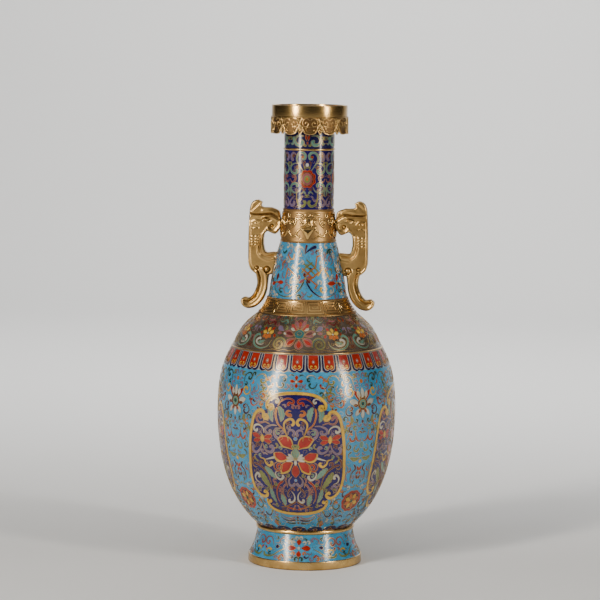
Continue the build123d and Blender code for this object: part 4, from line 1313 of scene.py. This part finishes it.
# ---------------------------------------------------------------------------------------------
# Chased band: a cast bronze sleeve round the root of the neck, chased with a beast mask on each
# of its four sides among rolling clouds, beaded at both edges and gilded.
# ---------------------------------------------------------------------------------------------
NECK_R = reach("neck_enamel")
SLEEVE_BACK_R = NECK_R - 0.4
band_low, band_high = span("chased_band")
sleeve = smooth_curve([(18.0, band_low), (17.5, 221.0), (NECK_R + 0.1, band_high)])
heights = np.linspace(band_low, band_high, 61)
near_top, near_foot = band_high - heights, heights - band_low
swell = bead(near_top, 0.7, 0.42, 0.5) + bead(near_foot, 0.7, 0.42, 0.5)
swell += bead(near_top, 2.0, 0.16, 0.22)
sleeve_section = list(zip(sleeve(heights)[0] + swell, heights))
sleeve_section += [(SLEEVE_BACK_R, band_high), (SLEEVE_BACK_R, band_low)]
fit_out(turned("band_turned", sleeve_section), aged, "gilt_bronze", "chased_band")

MASK_TURN = 5.0
MASK_R = 17.5
BOSS_UP = 224.3
mask = Inlay(sleeve, MASK_R)
# the coiled boss on the brow and the snout under it
mask.area(rosette(BOSS_UP, 3.0, 2.7), "gilt", 0.05, 0.0, dome=0.6)
mask.ridge(spiral((0, BOSS_UP), 2.3, 0.25, 1.9, 150), 0.3, 0.8)
mask.ridge(spiral((0, BOSS_UP), 3.2, 3.2, 0.98, 90), 0.42, 0.5)
snout = [(0, 213.4), (1.7, 216.0), (3.9, 219.4), (5.6, 221.5), (3.2, 220.9), (0, 220.6), (-3.2, 220.9),
         (-5.6, 221.5), (-3.9, 219.4), (-1.7, 216.0)]
mask.area(through(snout, 0.5, closed=True), "gilt", 0.15, 0.34, dome=0.8)
# brows, cheeks, whiskers and clouds, each thinning to both ends
mask.paired = True
for points, half, lift in (
    ([(2.6, 226.4), (4.4, 227.2), (6.4, 226.5), (8.3, 227.4), (8.1, 224.8), (9.2, 222.2),
      (11.4, 220.6)], 0.5, 0.5),
    ([(8.6, 229.3), (5.8, 229.6), (3.4, 229.0), (4.3, 227.9)], 0.6, 0.45),
    ([(0.6, 228.0), (1.6, 229.2), (0.8, 230.2)], 0.45, 0.35),
    ([(1.0, 221.0), (3.2, 221.1), (5.9, 222.0)], 0.45, 0.55),
    ([(4.8, 220.2), (6.9, 218.3), (7.6, 216.3), (6.0, 214.9), (5.0, 216.0)], 0.55, 0.5),
    ([(7.5, 216.8), (9.8, 215.0), (12.4, 217.2), (13.2, 219.4)], 0.5, 0.45),
    ([(5.4, 223.0), (4.6, 224.6), (5.6, 225.6)], 0.4, 0.35),
    ([(12.6, 229.6), (13.2, 227.6), (12.2, 226.8)], 0.45, 0.35),
    ([(2.6, 214.2), (4.2, 213.9), (5.6, 213.6)], 0.35, 0.3),
):
    line = through(points, 0.4)
    thin = np.sin(np.linspace(0.35, math.pi - 0.2, len(line))) ** 0.6
    mask.ridge(line, 1.35 * half * thin, 1.5 * lift)
mask.ridge(spiral((10.7, BOSS_UP), 2.5, 0.35, 1.8, 130, -1), 0.42, 0.62)
mask.ridge(np.array([(1.1, 218.9), (1.5, 219.0), (1.9, 218.9)]), 0.3, 0.75)
mask.paired = False
mask.lay("mask", evenly(4, MASK_TURN), "gilt_bronze", metal=polished)

# ---------------------------------------------------------------------------------------------
# Neck: a cobalt cylinder with a flower in a red scalloped ring on each side, held in doubled
# scrolls, then a thin gilt ring and a dark band of celadon scrolls under the mouth.
# ---------------------------------------------------------------------------------------------
NECK_TURN = 2.5
NECK_FLOWER_UP = 252.5
neck = smooth_curve([(NECK_R, 200.0), (NECK_R, 250.0), (NECK_R, 300.0)])
ground("neck_ground", neck, "neck_enamel", "cobalt", "cobalt_enamel")
column = Inlay(neck, NECK_R)
column.area(rosette(NECK_FLOWER_UP, 5.3, 5.5, 4, 0.16, 0.94, 96), "red", 0.05)
column.area(rosette(NECK_FLOWER_UP, 4.0, 4.4, 4, 0.16, 0.94, 96), "maroon", 0.09, 0.22)
column.blob((0, NECK_FLOWER_UP), (6.6, 7.8), "pink", 0.13)
column.blob((0, NECK_FLOWER_UP - 0.1), (3.8, 4.8), "olive", 0.17, wire=0.2)
column.blob((0, NECK_FLOWER_UP), (1.6, 2.2), "orange", 0.2, wire=0.16)
column.blob((0, 261.6), (2.2, 2.4), "white", 0.08)
column.paired = True
for points, width, colour in (
    ([(3.6, 265.7), (1.9, 265.6), (1.3, 267.8), (3.2, 269.6), (6.0, 268.6), (7.2, 265.0),
      (5.0, 261.2), (2.6, 257.8)], 1.5, "mint"),
    ([(9.4, 264.6), (10.9, 265.2), (11.6, 267.4), (9.6, 269.3), (7.6, 268.0)], 1.6, "mauve"),
    ([(8.0, 258.6), (6.7, 257.5), (8.4, 255.9), (11.2, 257.0), (11.9, 260.0), (9.2, 262.3),
      (5.8, 262.6)], 1.4, "mint"),
    ([(10.6, 253.2), (9.4, 254.4), (8.0, 253.2), (8.9, 250.9), (11.2, 250.6), (12.3, 252.6)], 1.4, "pink"),
    ([(7.4, 247.1), (6.6, 248.6), (8.4, 249.6), (11.0, 248.4), (11.5, 245.8), (8.8, 243.6),
      (5.4, 244.6), (3.7, 247.4)], 1.4, "mint"),
    ([(2.6, 238.4), (1.0, 237.2), (2.6, 234.9), (5.6, 236.0), (6.8, 239.4), (7.2, 243.4)], 1.4, "olive"),
    ([(9.4, 238.2), (8.8, 236.4), (10.8, 235.1), (12.3, 236.9), (11.0, 239.4), (8.2, 241.6)], 1.5, "mauve"),
    ([(0.9, 243.0), (2.2, 244.3), (4.2, 242.6)], 1.0, "mint"),
    ([(2.4, 241.4), (3.8, 240.6), (3.4, 238.9)], 0.9, "mauve"),
    ([(12.4, 263.4), (11.2, 262.2), (12.5, 260.8)], 1.1, "olive"),
    ([(12.5, 247.0), (11.8, 243.4), (12.5, 240.6)], 1.1, "mint"),
    ([(1.2, 263.8), (2.4, 262.6), (2.0, 260.4)], 0.8, "maroon"),
    ([(3.2, 246.4), (2.0, 245.2), (0.7, 246.2)], 0.8, "maroon"),
):
    column.curl(points, width, colour, wire=0.26)
column.blob((3.0, 266.6), (2.0, 1.5), "red", 0.09)
column.fill(12.6, 233.8, 269.8, ("gilt", "maroon", "gilt", "mauve", "gilt", "olive"), 1.1,
            lambda spots: np.hypot(spots[:, 0], spots[:, 1] - NECK_FLOWER_UP) > 6.2)
column.paired = False
column.lay("column", evenly(4, NECK_TURN), "cobalt_enamel")

ring_section = half_round("neck_ring", NECK_R, 0.62, 0.66, NECK_R - 1.0, 1.4)
fit_out(turned("neck_ring_turned", ring_section), gilt, "gilt_bronze", "neck_ring")

ground("upper_neck_ground", neck, "upper_neck_enamel", "navy", "cobalt_enamel")
crown = Inlay(neck, NECK_R)
crown.paired = True
for points, width, colour in (
    ([(4.6, 277.4), (3.2, 276.0), (4.6, 274.4), (7.6, 275.0), (8.6, 277.8), (6.2, 280.4),
      (2.4, 280.2)], 2.0, "mint"),
    ([(10.2, 279.6), (9.4, 277.4), (10.6, 274.8), (12.4, 275.6)], 1.7, "mint"),
    ([(12.5, 279.8), (11.4, 278.6), (12.4, 277.4)], 1.1, "olive"),
    ([(0.5, 274.4), (2.0, 274.0), (2.2, 276.0)], 1.0, "olive"),
):
    crown.curl(points, width, colour, wire=0.26)
crown.petal((0.6, 277.2), (1.1, 280.9), 1.3, "red")
crown.paired = False
crown.blob((0, 275.8), (1.1, 1.6), "red")
crown.lay("crown", evenly(4, NECK_TURN), "cobalt_enamel")

# ---------------------------------------------------------------------------------------------
# Mouth: a plain dished cup turned in bronze, with a cast skirt of twelve ruyi heads hung round
# its lower half and a pointed drop between each pair.
# ---------------------------------------------------------------------------------------------
cup_low, cup_high = span("mouth_cup")
skirt_low, skirt_high = span("ruyi_skirt")
cup_r, skirt_r = reach("mouth_cup"), reach("ruyi_skirt")
CUP_WALL = 1.9
CUP_FLOOR = 2.4
CUP_COVE = 3.0
SEAT = 1.4
throat = NECK_R - 2.6
bowl_r, seat_r = cup_r - CUP_WALL, skirt_r - SEAT
cup_section = rounded([
    (throat, cup_low), (seat_r - 1.0, cup_low), (seat_r, cup_low + 1.0), (seat_r, skirt_high),
    (cup_r, skirt_high), (cup_r, cup_high), (bowl_r, cup_high),
    (bowl_r, cup_low + CUP_FLOOR + CUP_COVE), (bowl_r - CUP_COVE, cup_low + CUP_FLOOR),
    (throat, cup_low + CUP_FLOOR),
], 0.55)
fit_out(turned("cup_turned", cup_section), polished, "gilt_bronze", "mouth_cup")

# the sunk plate of the skirt, lobed along its lower edge, and its hoop
HEADS = 12
HEAD_TURN = 7.5
PLATE_R = skirt_r - 0.45
PLATE_DEPTH = 0.9
plate_face = smooth_curve([(PLATE_R, 270), (PLATE_R, 290), (PLATE_R, 300)])
half_pitch = math.pi * PLATE_R / HEADS
lobe_top = skirt_low + 3.2
sunk = gilding("gilt_sunk", (0.17, 0.095, 0.035), (0.085, 0.045, 0.018), (0.012, 0.006, 0.003), 0.5)
hoop = rounded([(PLATE_R, lobe_top), (PLATE_R, skirt_high), (seat_r, skirt_high), (seat_r, lobe_top)], 0.2)
fit_out(turned("skirt_hoop", hoop), sunk, "gilt_bronze", "ruyi_skirt")
heads = Inlay(plate_face, PLATE_R)
chin = [(3.9, lobe_top + 0.5), (3.8, skirt_low + 2.2), (2.6, skirt_low + 0.8), (0, skirt_low + 0.15),
        (-2.6, skirt_low + 0.8), (-3.8, skirt_low + 2.2), (-3.9, lobe_top + 0.5)]
heads.area(through(chin, 0.4), "gilt", 0.0, 0.0, depth=PLATE_DEPTH)
drop_top = lobe_top + 0.4
drop = [(half_pitch + 2.1, drop_top), (half_pitch, skirt_low + 0.2), (half_pitch - 2.1, drop_top)]
drop_line = np.vstack([np.linspace(a, b, 7)[:-1] for a, b in zip(drop, drop[1:] + drop[:1])])
heads.area(drop_line, "gilt", 0.0, 0.0, depth=PLATE_DEPTH)
EACH_HEAD = evenly(HEADS, HEAD_TURN)
heads.lay("skirt_edge", EACH_HEAD, "gilt_bronze", metal=sunk)
# the raised ruyi heads on it
skirt = Inlay(plate_face, PLATE_R)
skirt.paired = True
for points, half, lift in (
    ([(3.3, 288.4), (2.4, 289.6), (1.2, 288.4), (2.2, 286.6), (4.4, 287.4), (4.6, 290.2),
      (2.4, 291.9), (0.3, 290.6)], 0.34, 0.42),
    ([(2.6, 291.8), (5.0, 291.2), (6.5, 288.9), (5.9, 286.6), (4.2, 284.6)], 0.46, 0.5),
    ([(4.2, 284.6), (3.7, 282.9), (2.2, 281.9), (0.1, 281.6)], 0.44, 0.5),
    ([(4.2, 284.2), (5.2, 286.6), (6.5, 288.5)], 0.3, 0.4),
    ([(5.2, 292.2), (6.5, 290.4)], 0.3, 0.42),
):
    line = through(points, 0.45)
    skirt.ridge(line, np.full(len(line), half), lift)
for start, end, half, lift, count in (
    ((6.5, 288.0), (4.6, 284.9), 0.4, 0.5, 6), ((4.6, 284.9), (6.5, 281.7), 0.4, 0.5, 6),
    ((6.52, 285.9), (5.7, 284.9), 0.36, 0.34, 4), ((5.7, 284.9), (6.52, 283.9), 0.36, 0.34, 4),
):
    skirt.ridge(np.linspace(start, end, count), half, lift)
skirt.paired = False
# the ring of the head's tongue, run past its own start, and the line along the top
tongue_line = [(0, 286.2), (1.5, 286.4), (2.6, 285.3), (2.2, 283.8), (0, 282.9), (-2.2, 283.8),
               (-2.6, 285.3), (-1.5, 286.4)]
skirt.ridge(np.vstack([through(tongue_line, 0.4, closed=True)] * 2)[:-8], 0.26, 0.4)
TOP_LINE = 292.35
skirt.ridge(np.linspace((-half_pitch, TOP_LINE), (half_pitch, TOP_LINE), 15), 0.28, 0.4)
skirt.lay("skirt", EACH_HEAD, "gilt_bronze", metal=polished)

# ---------------------------------------------------------------------------------------------
# Handles: a beast's head over a curled tail, cast in bronze from one pattern, the relief carved
# into both faces, then gilded. Each is fixed to the neck by pins.
# ---------------------------------------------------------------------------------------------


def bow(*points, gap=0.55):
    """A bowed run of the outline through points, without its last one."""
    return through(points, gap)[:-1]


def straight(start, end, count):
    """A straight run of the outline in so many stations, without its last one."""
    return np.linspace(start, end, count)[:-1]


# the outline of the right handle in mm, from the crest down the back, round the tail and up
pattern = np.vstack([
    bow((30.2, 236.2), (33.2, 237.8), (36.6, 236.4), (38.2, 233.0), (38.8, 228.0)),
    bow((38.8, 228.0), (39.3, 212.0), (39.3, 197.0)),
    bow((39.3, 197.0), (37.8, 192.4), (34.0, 189.0), gap=0.5),
    bow((34.0, 189.0), (33.2, 183.0), (35.2, 177.0), (38.2, 173.6), (41.6, 173.9), (43.9, 171.8),
        (43.0, 168.4), (39.3, 166.4), (34.0, 167.6), (29.3, 172.2), (26.9, 178.0), (26.1, 184.0),
        (25.5, 188.5)),
    straight((25.5, 188.5), (21.0, 190.2), 9),
    straight((21.0, 190.2), (18.2, 203.8), 24),
    straight((18.2, 203.8), (22.6, 203.8), 9),
    bow((22.6, 203.8), (27.6, 203.8), (29.2, 208.6), gap=0.5),
    straight((29.2, 208.6), (29.2, 212.6), 8),
    bow((29.2, 212.6), (28.6, 215.6), (26.8, 217.4), gap=0.5),
    bow((26.8, 217.4), (21.5, 215.6), (18.2, 219.4), gap=0.5),
    straight((18.2, 219.4), (15.8, 220.4), 5),
    straight((15.8, 220.4), (15.8, 224.4), 8),
    straight((15.8, 224.4), (18.0, 225.4), 5),
    bow((18.0, 225.4), (19.2, 230.6), (24.0, 232.9), gap=0.5),
    straight((24.0, 232.9), (29.3, 233.0), 10),
    bow((29.3, 233.0), (30.9, 234.0), (30.2, 236.2), gap=0.5),
])[::-1]

# raised (+) and sunk (-) lines of the carving: points, how wide, how high
carving = [
    ([(39.8, 229.8), (36.0, 228.3), (30.0, 228.3), (24.0, 228.6), (19.6, 226.2)], 0.55, -0.9),
    ([(38.9, 226.4), (35.0, 226.4), (30.0, 227.0), (25.0, 227.2), (20.6, 224.8)], 0.7, 0.35),
    ([(31.4, 236.4), (33.0, 234.6), (35.4, 232.6), (37.4, 230.8)], 0.5, -0.5),
    ([(29.6, 230.8), (26.0, 230.9), (22.6, 229.9)], 0.9, 0.3),
    ([(24.6, 224.7), (26.6, 225.9), (28.8, 225.7), (30.4, 224.6)], 0.34, -0.55),
    ([(25.2, 224.2), (27.0, 223.9), (29.0, 224.6)], 0.34, -0.4),
    ([(25.8, 225.0), (28.4, 224.9)], 0.55, 0.35),
    ([(25.0, 226.9), (27.6, 227.1), (30.4, 225.8)], 0.45, 0.3),
    ([(18.2, 223.0), (18.9, 219.6), (21.6, 217.3), (24.8, 217.5), (26.4, 219.4)], 0.7, 0.4),
    ([(20.2, 223.4), (20.6, 220.6), (22.6, 219.0), (24.8, 219.8)], 0.35, -0.5),
    ([(27.4, 218.2), (28.6, 216.6), (30.2, 213.6), (30.5, 208.6), (29.2, 204.4), (26.3, 202.4),
      (22.2, 203.0)], 0.55, 0.5),
    ([(31.6, 214.6), (31.9, 208.4), (30.8, 203.2), (27.4, 200.6), (22.0, 201.2)], 0.6, -0.6),
    ([(32.9, 207.2), (32.4, 203.0), (30.2, 200.0), (26.6, 198.7), (22.2, 199.6)], 0.6, 0.55),
    ([(38.1, 224.6), (38.3, 212.0), (38.2, 198.0), (36.6, 193.4), (34.8, 191.6)], 0.45, -0.45),
    ([(32.0, 222.4), (33.0, 223.9), (34.8, 224.4), (36.4, 223.2), (35.4, 221.9),
      (34.0, 222.4)], 0.45, 0.45),
    ([(32.6, 219.6), (34.6, 220.2), (36.6, 219.4)], 0.35, -0.3),
    ([(29.9, 192.6), (27.6, 189.4), (26.9, 185.0), (27.7, 179.0), (30.2, 173.4), (34.6, 168.9),
      (39.4, 167.8), (42.4, 169.6)], 0.6, 0.45),
    ([(32.6, 191.0), (31.0, 186.0), (31.6, 179.8), (34.4, 173.8), (38.2, 170.9), (41.6, 171.6)], 0.5, -0.8),
    ([(33.3, 190.6), (32.2, 186.0), (32.8, 180.4), (35.4, 175.0), (38.8, 172.2), (42.0, 172.9)], 0.4, 0.6),
]
# four rows of waved hair
for z in (213.2, 211.4, 209.6, 207.8):
    hair = [(32.6, z), (33.8, z + 0.7), (35.0, z), (36.2, z + 0.7), (37.4, z)]
    carving.append((hair, 0.36, 0.42))
# round studs: middle, radius, how high
STUDS = (((26.6, 192.2), 1.5, 1.0), ((33.4, 193.2), 0.85, 0.8), ((23.7, 221.0), 0.75, 0.8))

# a net of small triangles over the pattern, finest along its rounded edge
GRID = 0.32
GRID_CLEAR = 0.75
corner, far = pattern.min(0), pattern.max(0)
across, upward = np.arange(corner[0] + 0.1, far[0], GRID), np.arange(corner[1] + 0.1, far[1], GRID)
grid = np.stack(np.meshgrid(across, upward), -1).reshape(-1, 2)
grid[:, 0] += GRID / 2 * (np.round((grid[:, 1] - corner[1]) / GRID).astype(int) % 2)
grid = grid[inside(grid, pattern)]
grid = grid[nearest(grid, pattern, True) > GRID_CLEAR]
insets = []
for depth in (0.14, 0.42):
    moved = pattern + normals_of(pattern, True) * depth
    insets.append(moved[nearest(moved, pattern, True) > depth * 0.93])
flat = np.vstack([pattern] + insets + [grid])
rim_count = len(pattern)
rim_edges = [(i, (i + 1) % rim_count) for i in range(rim_count)]
flat_points, _, flat_faces, *_ = delaunay_2d_cdt([Vector(p) for p in flat], rim_edges, [], 1, 1e-5)
flat = np.array([tuple(p) for p in flat_points])

# how high the carved face stands over each point of the net
HALF_PLATE = 3.3
ROUND_OFF = 1.25
depth = nearest(flat, pattern, True)
depth[:rim_count] = 0
edge_drop = np.clip(1 - depth / ROUND_OFF, 0, 1)
face = HALF_PLATE - ROUND_OFF + ROUND_OFF * np.sqrt(np.clip(1 - edge_drop ** 2, 0, 1))
for points, wide, tall in carving:
    face += bead(nearest(flat, through(points, 0.6)), 0, tall, wide) * np.clip(depth / 0.8, 0, 1)
for centre, radius, tall in STUDS:
    away_from = np.linalg.norm(flat - centre, axis=1)
    face += tall * np.exp(-(away_from / radius) ** 4) - bead(away_from, radius * 1.4, 0.6, 0.3)

handle_gold = gilding("gilt_handle", (0.58, 0.36, 0.125), (0.30, 0.17, 0.05),
                      (0.012, 0.006, 0.002), 0.3, 1100.0, 60.0)
for name, side in (("handle_right", 1), ("handle_left", -1)):
    near = np.c_[side * flat[:, 0], -face, flat[:, 1]]
    back = np.c_[side * flat[:, 0], face, flat[:, 1]]
    count = len(flat)
    faces = []
    for f in flat_faces:
        f = list(f)[::side]
        faces.append(tuple(f))
        faces.append(tuple(v + count for v in reversed(f)))
    for i in range(rim_count):
        j = (i + 1) % rim_count
        faces.append((i, i + count, j + count, j)[::side])
    carved = mesh_piece(name + "_carved", np.vstack([near, back]), faces, 60)
    fit_out(carved, handle_gold, "gilt_bronze", name)

# ---------------------------------------------------------------------------------------------
# Inside: the bare hammered copper of foot, body and neck, dull and toned with age, and the peened
# pins that hold the handles through the neck wall.
# ---------------------------------------------------------------------------------------------
copper = gilding("hammered_copper", (0.62, 0.30, 0.17), (0.34, 0.15, 0.08), (0.06, 0.03, 0.02),
                 0.42, 300.0, 90.0)
for name in ("body_core", "lower_neck_core", "neck_core", "foot_core", "handle_pins"):
    coat(name, copper)
